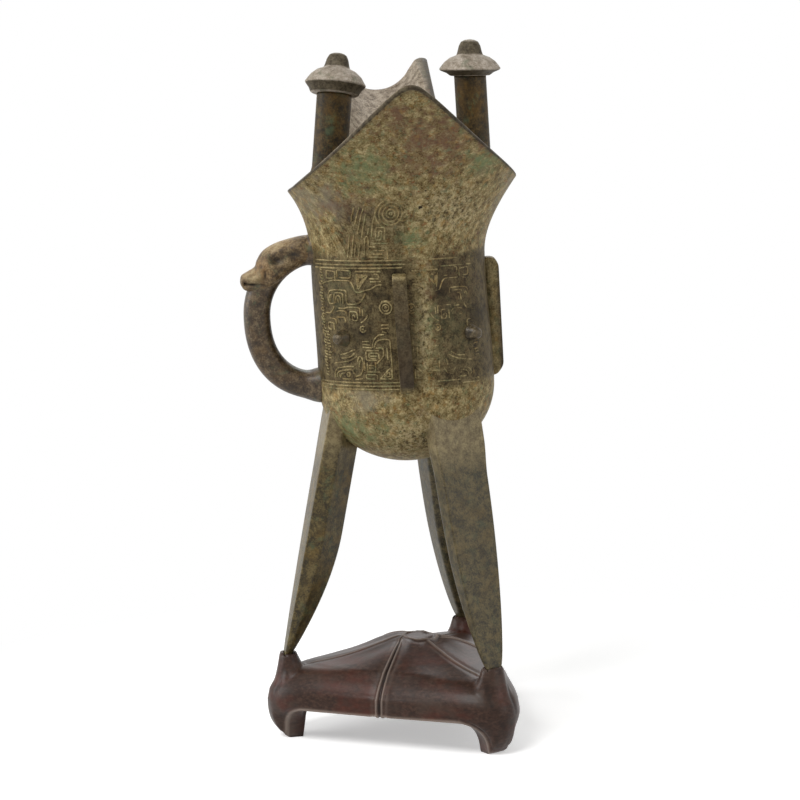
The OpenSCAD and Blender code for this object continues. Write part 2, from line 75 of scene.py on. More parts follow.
EYE_TURN, EYE_Z, EYE_R, EYE_TIP_R, EYE_OUT = 46.0, 135.0, 2.8, 1.7, 3.8
FLANGE_SKEW, LEG_FILLET = 3.2, 0.9
TANG = 0.55 * WALL
LEG_TURNS = {"handle_side": -90.0, "tail_side": 30.0, "spout_side": 150.0}


# Small sums

def sin(a): return np.sin(np.radians(a))
def cos(a): return np.cos(np.radians(a))
def tan(a): return np.tan(np.radians(a))
def mix(a, b, u): return a + (b - a) * u
def ease(u): return u * u * (3 - 2 * u)
def clamp(u, low=0.0, high=1.0): return np.minimum(np.maximum(u, low), high)
def step(a, b, x): return ease(clamp((x - a) / (b - a)))
def bump(x, middle, half): return np.exp(-((x - middle) / half) ** 2)
def squared(u, power): return np.sign(u) * np.abs(u) ** power


def unit(v):
    return v / np.maximum(np.linalg.norm(v, axis=-1, keepdims=True), 1e-12)


def around(r, a, z):
    """A place at radius r and height z, turned by the angle a from the tail towards the far side."""
    r, a, z = np.broadcast_arrays(r, a, z)
    return np.stack([r * sin(a), -r * cos(a), z], -1).astype(float)


def profile(x, places, heights):
    """Smooth curve through the given points."""
    places, heights = np.array(places, float), np.array(heights, float)
    slopes = np.gradient(heights, places)
    i = np.clip(np.searchsorted(places, x, "right") - 1, 0, len(places) - 2)
    wide = places[i + 1] - places[i]
    u = clamp((x - places[i]) / wide)
    return (heights[i] * (1 + 2 * u) * (1 - u) ** 2 + heights[i + 1] * u * u * (3 - 2 * u)
            + wide * (slopes[i] * u * (1 - u) ** 2 - slopes[i + 1] * u * u * (1 - u)))


def bend(before, p, after, cut, most, count):
    """Points round the corner p, from `cut` before it to `cut` after it, but no further than the share
    `most` of the way to the points on both sides of it."""
    a, b = before - p, after - p
    start = p + a * min(most, cut / max(np.linalg.norm(a), 1e-9))
    end = p + b * min(most, cut / max(np.linalg.norm(b), 1e-9))
    return [(1 - u) ** 2 * start + 2 * u * (1 - u) * p + u * u * end for u in np.linspace(0, 1, count)]


def rounded(corners, cut):
    """Closed outline whose corners are rounded off."""
    p = np.array(corners, float)
    return np.vstack([bend(p[i - 1], p[i], p[(i + 1) % len(p)], cut, 0.48, 5) for i in range(len(p))])


def smooth_outline(points, count=6, cut=0.35):
    """Open outline with its inner corners softened."""
    p = np.array(points, float)
    inner = [bend(p[i - 1], p[i], p[i + 1], cut, 0.45, count) for i in range(1, len(p) - 1)]
    return np.vstack([p[:1], *inner, p[-1:]])


# Meshes

def linked(name, data):
    """A new object with this data, in the scene."""
    thing = bpy.data.objects.new(name, data)
    bpy.context.scene.collection.objects.link(thing)
    return thing


def from_work(name, work):
    """A new object from a work mesh, which is freed."""
    mesh = bpy.data.meshes.new(name)
    work.to_mesh(mesh)
    work.free()
    return linked(name, mesh)


def applied(name, thing):
    """A new object from this one with its modifiers applied."""
    graph = bpy.context.evaluated_depsgraph_get()
    return linked(name, bpy.data.meshes.new_from_object(thing.evaluated_get(graph), depsgraph=graph))


def mesh_object(name, points, faces=(), edges=()):
    """An object whose mesh holds these points, given in millimetres."""
    mesh = bpy.data.meshes.new(name)
    mesh.from_pydata((np.asarray(points) * MM).tolist(), list(edges), [list(f) for f in faces])
    mesh.update()
    return linked(name, mesh)


def skin(name, rings, poles=None):
    """Closed skin over rings of equal length, from one pole to the other, its faces outwards. A pole is
    the middle of the ring beside it unless `poles` says otherwise."""
    pole_a, pole_b = (rings[0].mean(axis=0), rings[-1].mean(axis=0)) if poles is None else poles
    count, sides = len(rings), len(rings[0])
    points = np.vstack([[pole_a]] + [np.asarray(r) for r in rings] + [[pole_b]])
    faces = [(0, 1 + (i + 1) % sides, 1 + i) for i in range(sides)]
    for j in range(count - 1):
        a, b = 1 + j * sides, 1 + (j + 1) * sides
        faces += [(a + i, a + (i + 1) % sides, b + (i + 1) % sides, b + i) for i in range(sides)]
    last, a = 1 + count * sides, 1 + (count - 1) * sides
    faces += [(last, a + i, a + (i + 1) % sides) for i in range(sides)]
    thing = mesh_object(name, points, faces)
    turn_outwards(thing)
    return thing


def tone(thing, name, values):
    """Keeps one number for each point, by which the finish changes over the surface. Fewer numbers than
    points are those of the first rings of a skin, and the rest is 0."""
    values, count = np.asarray(values, float).ravel(), len(thing.data.vertices)
    if len(values) < count:
        values = np.concatenate([[0], values, np.zeros(count - len(values) - 1)])
    thing.data.attributes.new(name, "FLOAT", "POINT").data.foreach_set("value", np.clip(values, 0, 1))


def ring_tones(rings, value):
    """The same number for every point of each ring, with the two poles at the ends."""
    inner = [np.full(len(r), v) for r, v in zip(rings, value)]
    return np.concatenate([[value[0]], *inner, [value[-1]]])


def grid_normals(grid):
    """Outward directions over a closed grid of rings whose points run round an upright axis."""
    down = np.gradient(grid, axis=0)
    along = np.roll(grid, -1, axis=1) - np.roll(grid, 1, axis=1)
    return unit(np.cross(down, along))


def turn_outwards(thing):
    """Turns the whole closed skin over if its faces point inwards."""
    work = bmesh.new()
    work.from_mesh(thing.data)
    if work.calc_volume(signed=True) < 0:
        bmesh.ops.reverse_faces(work, faces=work.faces)
        work.to_mesh(thing.data)
    work.free()


def lathe(name, outline, sides, place, dark=None):
    """Closed solid of revolution from (radius, height) points, moved by the function `place`."""
    outline = np.array(outline, float)
    turns = np.arange(sides) * 360 / sides
    rings = [place(np.stack([r * cos(turns), r * sin(turns), np.full(sides, h)], -1))
             for r, h in outline[1:-1]]
    ends = [place(np.array([[0, 0, outline[k][1]]]))[0] for k in (0, -1)]
    thing = skin(name, rings, ends)
    if dark is not None:
        tone(thing, "dark", ring_tones(rings, dark(outline[1:-1])))
    return thing


# The body of the vessel

def rim(q):
    """Outline of the rim: q runs from the tail at -90 by the far corner at 0 to the spout's end at 90."""
    a = np.where(q < -90, q + 360, q)
    left = a > 90
    q = np.where(left, 180 - a, a)
    full = MOUTH_HW + CORNER_CUT
    t = np.minimum(q, 0)
    wide = full * np.abs(cos(t)) ** 1.54
    drop = (np.hypot(wide, TAIL_ROUND) - TAIL_ROUND) / (math.hypot(full, TAIL_ROUND) - TAIL_ROUND)
    tail = np.stack([
        wide - CORNER_CUT * np.exp((wide - full) / (1.15 * CORNER_CUT)),
        CORNER_Y - (TAIL_LEN + CORNER_Y) * np.abs(sin(t)) ** 1.35,
        CORNER_Z + TAIL_RISE * np.maximum(0, 1 - drop) ** 1.1,
    ], -1)
    s = clamp(q / LIP_Q) ** 1.4
    y = mix(CORNER_Y, SPOUT_LEN, s)
    side = np.stack([
        mix(SPOUT_HW, MOUTH_HW, np.exp(-((y - CORNER_Y) / MOUTH_TAPER) ** 1.5)), y,
        CORNER_Z + SPOUT_RISE * s ** 1.25,
    ], -1)
    w = clamp((90 - q) / (90 - LIP_Q))
    end = np.stack([
        SPOUT_HW * w, np.full_like(w, SPOUT_LEN), CORNER_Z + SPOUT_RISE - SPOUT_DEEP * (1 - w ** 2.2)], -1)
    p = np.where((q < 0)[..., None], tail, np.where((q <= LIP_Q)[..., None], side, end))
    x = np.where(left, -p[..., 0], p[..., 0])
    return np.stack([x, p[..., 1], p[..., 2] + x * tan(RIM_TILT)], -1)


def body_point(q, v):
    """Outside of the body: v runs 0 to 1 up the rounded bottom, to 2 at the neck and to 3 at the rim."""
    q, v = (np.asarray(a, float) for a in np.broadcast_arrays(q, v))
    c, s = cos(q), sin(q)
    r = np.where(v <= 1, BOWL_R * sin(90 * clamp(v)), mix(BOWL_R, NECK_R, ease(clamp(v - 1))))
    z = np.where(v <= 1, ROUND_Z - BOWL_ROUND_H * cos(90 * clamp(v)), mix(ROUND_Z, NECK_Z, clamp(v - 1)))
    drift = np.where(v > 1, -NECK_SWAY * sin(90 * (np.maximum(v, 1) - 1)) ** 2, 0)
    low = np.stack([r * c + drift, r * s, z], -1)
    p, t = rim(q), clamp(v - 2)
    f = t ** (1.6 + 0.2 * c ** 2)
    high = np.stack([
        mix(NECK_R * c, p[..., 0], f) + drift, mix(NECK_R * s, p[..., 1], f), mix(NECK_Z, p[..., 2], t)], -1)
    return np.where((v > 2)[..., None], high, low)


def body_normal(q, v):
    q, v = np.broadcast_arrays(np.asarray(q, float), np.asarray(v, float))
    up, down = np.minimum(v + 0.02, 3), v - 0.02
    along = body_point(q + 1, v) - body_point(q - 1, v)
    return unit(np.cross(along, body_point(q, up) - body_point(q, down)))


def bowl_radius(z):
    low = BOWL_R * np.sqrt(np.maximum(0, 1 - ((ROUND_Z - z) / BOWL_ROUND_H) ** 2))
    return np.where(z < ROUND_Z, low, mix(BOWL_R, NECK_R, ease(clamp((z - ROUND_Z) / (NECK_Z - ROUND_Z)))))


def bowl_sway(z):
    return -NECK_SWAY * sin(90 * clamp((z - ROUND_Z) / (NECK_Z - ROUND_Z))) ** 2


def wall_at(q, v):
    """The wall thins towards the rim, least along the spout."""
    spout = ease(clamp((sin(q) - 0.4) / 0.5))
    return np.where(v < 2, WALL, mix(WALL, mix(RIM_WALL, SPOUT_WALL, spout), v - 2))


def inner_point(q, v):
    """Inside of the wall. At the spout's two end corners the rim is a broad level pad across the spout."""
    q, v = (np.asarray(x, float) for x in np.broadcast_arrays(q, v))
    k = np.exp(-((np.abs(q - 90) - 90 + LIP_Q) / 6) ** 2) * clamp((v - 2.6) / 0.4)
    n = body_normal(q, v)
    across = unit(np.stack([n[..., 0], (1 - k) * n[..., 1], (1 - k) * n[..., 2]], -1))
    return body_point(q, v) - mix(wall_at(q, v), SPOUT_CORNER_WALL, k)[..., None] * across


def make_body():
    sides = 264
    q = -90 + np.arange(sides) * 360 / sides
    part, mouth_part = np.linspace(0, 1, 27)[1:], np.linspace(0, 1, 52)[1:-1]
    levels = np.concatenate([part, 1 + part, 2 + mouth_part])
    outer = [body_point(q, v) for v in levels]
    inner = [inner_point(q, v) for v in levels[::-1]]
    # The rim is rounded over from its outer to its inner edge
    across = (0.03, 0.15, 0.4, 0.65, 0.9, 1.0)
    back = (0.012, 0.004, 0.0, 0.0, 0.006, 0.014)
    thick = inner_point(q, 3.0) - body_point(q, 3.0)
    lip = [body_point(q, 3 - b) + s * thick for s, b in zip(across, back)]
    rings = outer + lip + inner
    thing = skin("cast_bowl", rings, ([0, 0, BOWL_Z], [0, 0, BOWL_Z + WALL]))
    outside, within = [0] * len(outer), [1] * len(inner)
    tone(thing, "inside", ring_tones(rings, outside + [0, 0, 0.2, 0.5, 0.8, 1] + within))
    edge = [bump(v, 3, 0.02) for v in levels] + [1, 1, 1, 0.6, 0.3, 0.1]
    tone(thing, "rim_edge", ring_tones(rings, edge + [0] * len(inner)))
    return thing


# Casting flaws on the tail: x, y, z and radius
BODY_PITS = ((5.4, -35.4, 183.4, 0.45), (3.9, -32.9, 177.9, 0.95), (11.5, -25.2, 161.5, 0.4))


# Legs

def leg_ring(z, a):
    """Section of a leg at height z: a flat outer face, two side faces and a narrow inner edge."""
    h = z - SOCKET_Z
    grow = lambda full, start: math.sin(math.pi / 2 * min(1, max(0, h / full))) ** start
    w = mix(LEG_TIP_W, LEG_ROOT_W, grow(LEG_WIDEN_H, 0.65)) / 2
    d = mix(LEG_TIP_D, LEG_ROOT_D, grow(LEG_DEEPEN_H, 0.9))
    # The casting fillet spreads where the leg meets the bowl
    w += LEG_FILLET * float(step(60, 72, h))
    r = LEG_OUT_R - max(0, h) * tan(LEG_SPLAY)
    flat = [[w, 0], [0.94 * w, LEG_FLAT * d], [0.16 * w, d], [-0.16 * w, d], [-0.94 * w, LEG_FLAT * d],
            [-w, 0]]
    outline = rounded(flat, 0.7 if h > 0 else 0.3)
    out = around(r - outline[:, 1], a, z)
    out[:, 0] += outline[:, 0] * cos(a)
    out[:, 1] += outline[:, 0] * sin(a)
    return out


def keep_in_wall(points):
    """Points that would show inside the bowl are brought out into the middle of its wall."""
    centre = np.array([0, 0, ROUND_Z])
    half = np.array([BOWL_R - TANG, BOWL_R - TANG, BOWL_ROUND_H - TANG])
    away = np.linalg.norm((points - centre) / half, axis=-1, keepdims=True)
    return np.where(away < 1, centre + (points - centre) / np.maximum(away, 1e-6), points)


def make_leg(name, turn):
    top = ROUND_Z - 4
    levels = np.concatenate([[TIP_Z, TIP_Z + 0.4], np.linspace(SOCKET_Z, top, 90)])
    rings = [keep_in_wall(leg_ring(z, turn + LEG_TURN)) for z in levels]
    thing = skin("leg_" + name + "_cast", rings)
    tone(thing, "root", ring_tones(rings, step(88, 101, levels)))
    return thing


# Handle

def strap_middle(u):
    """Middle line of the strap in the plane of the handle, from its upper to its lower root."""
    root = -float(bowl_radius(LOOP_Z)) + TANG
    turn = math.radians(90 - 180 * u)
    out, up = max(0.0, math.cos(turn)), math.sin(turn)
    bend = 1.0 if up > 0 else 0.87
    rise = LOOP_HIGH * up if up > 0 else -LOOP_MID * (-up) ** 0.87
    return np.array([root - (LOOP_OUT + root) * out ** bend, LOOP_Z + LOOP_MID + rise])


def swept(middle, u, offsets, e=0.01):
    """Ring of (across the plane, out of the plane) offsets round a curve in the plane of the handle."""
    c = middle(u)
    along = unit(middle(min(1, u + e)) - middle(max(0, u - e)))
    n = np.array([-along[1], along[0]])
    return np.stack([c[0] + n[0] * offsets[:, 0], offsets[:, 1], c[1] + n[1] * offsets[:, 0]], -1)


def make_strap():
    a = np.arange(48) * 7.5
    rings = []
    for u in np.linspace(0, 1, 120):
        section = np.stack([STRAP_T / 2 * squared(cos(a), 0.8), STRAP_W / 2 * squared(sin(a), 0.8)], -1)
        # Both roots spread a little where they meet the bowl
        rings.append(swept(strap_middle, u, section * (1 + 0.3 * bump(u, 0, 0.05) + 0.3 * bump(u, 1, 0.05))))
    return skin("handle_strap", rings)


# Stations along the beast head: top (x, z), underside (x, z) and half of the width
HEAD = np.array([
    [-27.4, 165.6, -27.4, 157.4, 4.9], [-32.1, 165.7, -31.3, 156.6, 5.4], [-38.0, 164.5, -36.0, 154.2, 6.0],
    [-42.1, 163.1, -39.6, 151.4, 6.5], [-45.4, 161.0, -42.6, 149.2, 6.4], [-47.3, 158.2, -44.8, 147.8, 5.8],
    [-48.1, 156.1, -46.8, 147.5, 5.2], [-50.3, 154.7, -49.0, 147.9, 4.9], [-52.3, 153.5, -51.4, 148.7, 4.6],
    [-53.1, 152.0, -52.7, 149.9, 3.8],
])
SNOUT_X = -53.2
# Carving on both cheeks: place (x, z), half sizes along and up, and how far it stands out or sinks in
CARVING = (
    (-40.9, 158.9, 2.1, 1.4, -1.8), (-46.3, 156.9, 0.6, 0.6, -0.6), (-35.5, 160.4, 2.6, 1.2, -0.5),
    (-43.6, 160.4, 1.2, 0.9, 0.5), (-42.3, 152.8, 1.5, 1.5, 0.5), (-45.0, 153.9, 0.5, 1.6, -0.7),
    (-47.6, 153.2, 2.0, 1.2, 0.6), (-49.6, 150.9, 2.6, 0.5, -1.1), (-46.6, 150.4, 1.6, 0.5, -0.7),
    (-51.9, 151.3, 1.3, 0.9, -1.0), (-38.5, 161.9, 3.6, 0.45, 0.5), (-33.2, 163.6, 3.0, 0.5, 0.4),
)


def make_head():
    sides = 96
    turns = np.arange(sides) * 360 / sides
    rings = []
    for u in np.concatenate([np.linspace(0, 8, 100), np.linspace(8.05, 9, 14)]):
        tx, tz, bx, bz, wide = (float(profile(u, np.arange(len(HEAD)), HEAD[:, k])) for k in range(5))
        close = math.sqrt(max(0.02, 1 - max(0.0, u - 8.3) ** 2 / 0.55))
        middle = np.array([tx + bx, tz + bz]) / 2
        half = np.array([tx - bx, tz - bz]) / 2 * close
        up, out = squared(cos(turns), 0.85), squared(sin(turns), 0.85) * wide * close
        rings.append(np.stack([middle[0] + half[0] * up, out, middle[1] + half[1] * up], -1))
    grid = np.array(rings)
    normals = grid_normals(grid)
    side = step(0.35, 0.85, np.abs(normals[..., 1]))
    relief, shaded_hollow = 0 * side, 0 * side
    for x, z, along, tall, out in CARVING:
        mark = np.exp(-((grid[..., 0] - x) / along) ** 2 - ((grid[..., 2] - z) / tall) ** 2)
        relief += out * mark * side
        # The deepest carvings, such as the eye hollows and the mouth, are painted dark as shade
        shaded_hollow = np.maximum(shaded_hollow, mark * side * (out < -0.4))
    # A keel runs down the forehead between the brows
    relief += 0.5 * bump(grid[..., 1], 0, 0.9) * step(157, 160, grid[..., 2]) * (normals[..., 2] > 0)
    if (normals[len(grid) // 2, :, 2] * up).sum() < 0:
        normals = -normals
    grid = grid + relief[..., None] * normals
    grid[..., 0] = np.maximum(grid[..., 0], SNOUT_X)
    thing = skin("beast_head_cast", list(grid))
    tone(thing, "dark", shaded_hollow)
    # Painted highlight where the front of the head faces up, and the tan stain with a painted highlight on
    # the nose
    top_highlight = step(0.55, 0.9, normals[..., 2]) * step(-33, -38, grid[..., 0])
    nose = np.exp(-((grid[..., 0] + 48.6) / 2.6) ** 2 - ((grid[..., 2] - 153.0) / 1.6) ** 2)
    tone(thing, "worn", np.maximum(top_highlight, 0.8 * nose))
    return thing


# Posts and caps

def on_post(side, x, lean, lift=0.0, tilt=0.0, turn=0.0):
    """Function that moves points from a post's own axis to its place on the rim."""
    foot = np.array([side * x, POST_Y, CORNER_Z + side * x * tan(RIM_TILT)])
    leaning = Matrix.Rotation(math.radians(-side * lean), 3, "Y")
    tipped = Matrix.Rotation(math.radians(turn), 3, "Y") @ Matrix.Rotation(math.radians(-tilt), 3, "X")
    lean_by, tip_by = np.array(leaning), np.array(tipped)
    return lambda p: (np.asarray(p, float) @ tip_by.T + [0, 0, lift]) @ lean_by.T + foot


def make_post(name, side, x, lean, h, r, tilt, turn, **cap_sizes):
    place = on_post(side, x, lean)
    on_top = on_post(side, x, lean, h, tilt, turn)
    post_q = LIP_Q * ((POST_Y - CORNER_Y) / (SPOUT_LEN - CORNER_Y)) ** (1 / 1.4)
    q = post_q if side > 0 else 180 - post_q
    v = 3 - POST_ROOT / (float(rim(np.array(post_q))[2]) - NECK_Z)
    root = body_point(q, v) - 0.75 * wall_at(q, v) * body_normal(q, v)
    a = np.arange(72) * 5
    circle = np.stack([cos(a), sin(a), 0 * a], -1)
    rings = []
    for u in np.linspace(0, 1, 14)[1:]:
        # The root narrows down the inside of the wall
        high = place(circle * [0.74 * r, 0.74 * r, 0] + [-0.25 * side * r, 0, 0])
        rings.append(mix(root + circle * 1.3, high, ease(u)))
    for z in np.linspace(0.1, 3 * POST_FOOT, 10):
        rings.append(place(circle * (r + POST_FOOT * (1 - z / (3 * POST_FOOT)) ** 1.5) + [0, 0, z]))
    low, high = place(circle * r + [0, 0, 3 * POST_FOOT + 0.5]), on_top(circle * r)
    rings += [mix(low, high, u) for u in np.linspace(0, 1, 30)]
    return skin("post_" + name + "_cast", rings, (root - [0, 0, 1.3], on_top([0, 0, 0])))


def make_cap(name, side, x, lean, h, r, tilt, turn, foot, edge, slope):
    lip = edge + CAP_LIP_H
    top = lip + slope
    outline = smooth_outline([
        [0, 0], [foot - 0.5, 0], [foot, 0.1 * edge], [mix(foot, CAP_R, 0.3), 0.55 * edge],
        [CAP_R - 0.3 * CAP_LIP_H, edge], [CAP_R, edge + 0.4 * CAP_LIP_H], [CAP_R - 0.4 * CAP_LIP_H, lip],
        [mix(FINIAL_R, CAP_R, 0.72), top - 0.6 * slope], [mix(FINIAL_R, CAP_R, 0.4), top - 0.24 * slope],
        [1.08 * FINIAL_R, top - 0.05 * slope], [FINIAL_R, top + 0.15 * FINIAL_H],
        [0.88 * FINIAL_R, top + 0.55 * FINIAL_H], [0.7 * FINIAL_R, top + 0.83 * FINIAL_H],
        [0.42 * FINIAL_R, top + 0.95 * FINIAL_H], [0, top + FINIAL_H],
    ])

    def dark(places):
        """The hollow edge under the lip and the sides of the finial are dark with painted shade; the slopes
        and the top keep the pale crust.
        """
        r, z = places[:, 0], places[:, 1]
        shaded_hollow = step(edge + 0.25 * CAP_LIP_H, edge - 0.1, z) * step(0.02 * edge, 0.16 * edge, z)
        finial = step(top - 0.2, top + 0.4, z) * step(top + 0.97 * FINIAL_H, top + 0.8 * FINIAL_H, z)
        return np.maximum(shaded_hollow, 0.95 * finial)

    return lathe("cap_" + name + "_cast", outline, 96, on_post(side, x, lean, h, tilt, turn), dark)


# Flanges and eye bosses

def make_flange(name, turn, skew=0.0):
    """A straight flange. `skew` turns its lower end round the bowl by so many degrees."""
    low = ROUND_Z + FLANGE_LOW
    high = low + FLANGE_H
    face = BOWL_R + FLANGE_OUT
    at = lambda u: mix(BOWL_R, face, u)
    corners = [
        [float(bowl_radius(high)) - TANG, low], [float(bowl_radius(low)) + 0.4 * FLANGE_OUT, low],
        [at(0.77), low + FLANGE_BEVEL / 2], [face, low + FLANGE_BEVEL], [at(0.8), high - FLANGE_TOP],
        [at(0.55), high - 0.25 * FLANGE_TOP], [at(0.26), high], [float(bowl_radius(high)) - TANG, high],
    ]
    outline = rounded(corners, 1.2)
    middle = outline.mean(axis=0)
    rings = []
    # Across the thickness, with the edges of both sides taken back a little
    for t, cut in ((-1, 0.5), (-0.94, 0.2), (-0.8, 0.0), (0, 0.0), (0.8, 0.0), (0.94, 0.2), (1, 0.5)):
        reach = np.linalg.norm(outline - middle, axis=1, keepdims=True)
        shape = middle + (outline - middle) * (1 - cut / reach)
        across = t * FLANGE_T / 2
        p = around(shape[:, 0], turn + skew * clamp((high - shape[:, 1]) / FLANGE_H), shape[:, 1])
        rings.append(p + np.array([cos(turn), sin(turn), 0]) * across + [float(bowl_sway(high)) / 2, 0, 0])
    thing = skin("flange_" + name + "_cast", rings)
    outer = step(BOWL_R + 0.55 * FLANGE_OUT, face - 0.2, outline[:, 0])
    tone(thing, "dark", np.tile(outer, len(rings)))
    return thing


def make_bosses():
    r = float(bowl_radius(EYE_Z)) - TANG
    outline = smooth_outline([
        [0, 0], [EYE_R, 0], [EYE_R, TANG], [mix(EYE_R, EYE_TIP_R, 0.8), TANG + 0.6 * EYE_OUT],
        [EYE_TIP_R, TANG + 0.85 * EYE_OUT], [0.6 * EYE_TIP_R, TANG + EYE_OUT], [0, TANG + EYE_OUT],
    ])
    parts = []
    for turn in (-EYE_TURN, EYE_TURN, 180 - EYE_TURN, 180 + EYE_TURN):
        out = around(1.0, turn, 0.0)
        side = np.array([cos(turn), sin(turn), 0.0])
        up = np.array([0, 0, 1.0])
        place = lambda p, out=out, side=side, up=up: (
            p[:, :1] * side + p[:, 1:2] * up + (p[:, 2:3] + r) * out + [float(bowl_sway(EYE_Z)), 0, EYE_Z])
        parts.append(lathe("eye_boss", outline, 40, place))
    return joined("eye_bosses_cast", parts)


def joined(name, parts):
    """One object from several, with the meshes kept as they are."""
    work = bmesh.new()
    for part in parts:
        work.from_mesh(part.data)
        bpy.data.objects.remove(part)
    return from_work(name, work)


# Stand

# Height of the top along an arm and along the middle of a side, by the share of the way out: 2 is the
# height of the middle, 1 that of the saddles and 0 that of the widest line
ARM_TOP = ([0, 0.12, 0.23, 0.41, 0.59, 0.7, 0.8, 0.88, 0.94, 0.98, 0.995, 1],
           [2, 1.98, 1.73, 1.34, 1.08, 0.98, 0.9, 0.74, 0.55, 0.32, 0.16, 0])
SIDE_TOP = ([0, 0.19, 0.35, 0.49, 0.63, 0.74, 0.84, 0.91, 0.96, 0.99, 1],
            [2, 1.98, 1.85, 1.65, 1.35, 1.07, 0.81, 0.61, 0.41, 0.2, 0])


# The hub stands a little to the far side of the middle: its disc, the line round it and its outer edge
HUB = np.array([1.9, 0.0])
DISC_R, HUB_LINE_R, HUB_R = 5.2, 5.6, 6.0
# How far a carved line, a groove and a cushion between them stand out or in
LINE_OUT, GROOVE_IN, CUSHION_OUT = 0.42, 0.3, 0.3
CUTTER_H, FAR = 20.0, 99.0


def stand_edge(t):
    return ((STAND_SIDE / cos(60 - t)) ** -12 + FOOT_R ** -12) ** (-1 / 12)


def stand_top(r, t):
    """Height of the stand's top at radius r, at the angle t from the nearest foot."""
    share = r / stand_edge(t)
    level = mix(profile(share, *ARM_TOP), profile(share, *SIDE_TOP), step(6, 60, t))
    base = np.where(level > 1, mix(SADDLE_Z, STAND_H, level - 1), mix(BELLY_Z, SADDLE_Z, level))
    away = np.hypot((r * cos(t) - SOCKET_R) / 0.76, r * sin(t))
    swell = (1 - clamp(away / COLLAR_R - 1)) ** 2
    return mix(base, SOCKET_Z, swell)


def skirt(t):
    """Lower edge of the skirt, which springs from each foot in a quarter of an ellipse."""
    return SKIRT_Z * np.sqrt(1 - (1 - clamp((t - FOOT_TURN) / ARCH_TURN)) ** 2)


def carving(grid, t, way, edge_line):
    """How far the carved lines of the stand stand out, how pale they are and how dark the grooves are. The
    paleness is partly wear and partly painted highlight; the darkness in the grooves, folds and round the
    hub is painted shade. `way` is the side of the foot that a point lies on."""
    hub = grid[..., :2] - HUB
    r, out = np.hypot(grid[..., 0], grid[..., 1]), np.hypot(hub[..., 0], hub[..., 1])
    # Two lines with a groove between them swing away from the hub and run down the middle of each side
    swing = 2.6 * np.exp(-np.maximum(0, r - HUB_R) / 5.5)
    across, beside = way * r * sin(60 - t) - swing, np.abs(r * sin(t))
    fade = step(HUB_R, HUB_R + 1.2, out)
    apart = mix(0.5, 0.95, clamp((r - HUB_R) / 24))
    side_lines = bump(np.abs(across), apart, 0.3) * fade
    groove = bump(across, 0, 0.5 * apart) * fade
    # One line runs along each arm and dies out before the socket's collar
    arm_line = bump(beside, 0, 0.5) * fade * step(37, 33, r)
    on_crown = grid[..., 2] > STAND_H - 3
    hub_ring = bump(out, HUB_LINE_R, 0.45) * on_crown
    disc = step(DISC_R, DISC_R - 0.8, out)
    # The bead follows the lower edge of the skirt and the feet
    gap = np.full(r.shape, FAR)
    low = grid[..., 2] < BELLY_Z + 2
    gap[low] = np.sqrt(((grid[low][:, None, :] - edge_line[None, :, :]) ** 2).sum(-1).min(axis=1))
    bead = bump(gap, 1.35, 0.38)
    # The panels between the lines are cushions that stand a little proud
    near = np.minimum.reduce([np.abs(np.abs(across) - apart), beside + FAR * (r > 37), out - HUB_R, gap + 1])
    cushion = 1 - np.exp(-(np.maximum(0, near - 0.8) / 1.3) ** 2)
    folds = bump(t, 5.2, 1.1) * step(38, 41, r) * step(26, 22, grid[..., 2]) * step(12, 17, grid[..., 2])
    relief = (LINE_OUT * (side_lines + hub_ring) + 0.35 * (arm_line + bead) + CUSHION_OUT * cushion
              - GROOVE_IN * (groove + disc + folds) - 0.25 * bump(gap, 2.4, 0.5))
    # Paler on the lines, the hub ring and the bead, partly wear and partly painted highlight; the lower edge
    # and panel border terms are painted highlight only
    pale = clamp(side_lines + 0.7 * arm_line + 0.8 * hub_ring + bead
                 + 0.6 * bump(gap, 0.8, 0.7) + 0.12 * bump(near, 1.5, 0.6))
    # Darker in the groove, the folds and round the hub: painted shade in these recesses
    return relief, pale, clamp(groove + 0.6 * folds + 0.5 * bump(out, HUB_R + 0.6, 0.4) * on_crown)


def make_stand():
    sides = 600
    turns = np.arange(sides) * 360 / sides
    t = np.abs((turns - 30 + 60) % 120 - 60)
    a = turns + LEG_TURN
    edge = stand_edge(t)
    side = step(0, FOOT_TURN + ARCH_TURN, t)
    curl = mix(FOOT_CURL, SIDE_CURL, side)
    low = skirt(t)
    inside = edge - curl - mix(PAD_DEPTH, SKIRT_T, side)
    shares = np.concatenate([
        np.linspace(0.03, 0.3, 22)[:-1], np.linspace(0.3, 0.86, 34), np.linspace(0.87, 0.985, 20)])
    rings = [around(s * edge, a, stand_top(s * edge, t)) for s in shares]
    rings += [around(edge - curl * s ** 3, a, mix(BELLY_Z, low, s)) for s in np.linspace(0, 1, 24)]
    grid = np.array(rings)
    way = np.where((turns - 30) % 120 < 60, 1, -1)
    relief, pale, dark = carving(grid, np.broadcast_to(t, grid.shape[:2]), way, grid[-1])
    normals = grid_normals(grid)
    if normals[0, :, 2].mean() < 0:
        normals = -normals
    # The lower edge keeps its place
    keep = np.ones(len(grid))
    keep[-1] = 0
    out = grid + (np.minimum(relief, 0.9) * keep[:, None])[..., None] * normals
    under = [around(inside, a, low)]
    for s, k in ((0.97, 0.35), (0.92, 0.7), (0.7, 0.95), (0.35, 1)):
        under.append(around(s * inside, a, mix(low, HOLLOW_Z, k)))
    thing = skin("carved_stand_whole", list(out) + under, ([0, 0, STAND_H - 0.3], [0, 0, HOLLOW_Z]))
    # Wear with painted highlight on the lines and the lower edge, and painted shade in the grooves
    tone(thing, "worn", pale)
    tone(thing, "dark", dark)
    return cut_sockets(thing)


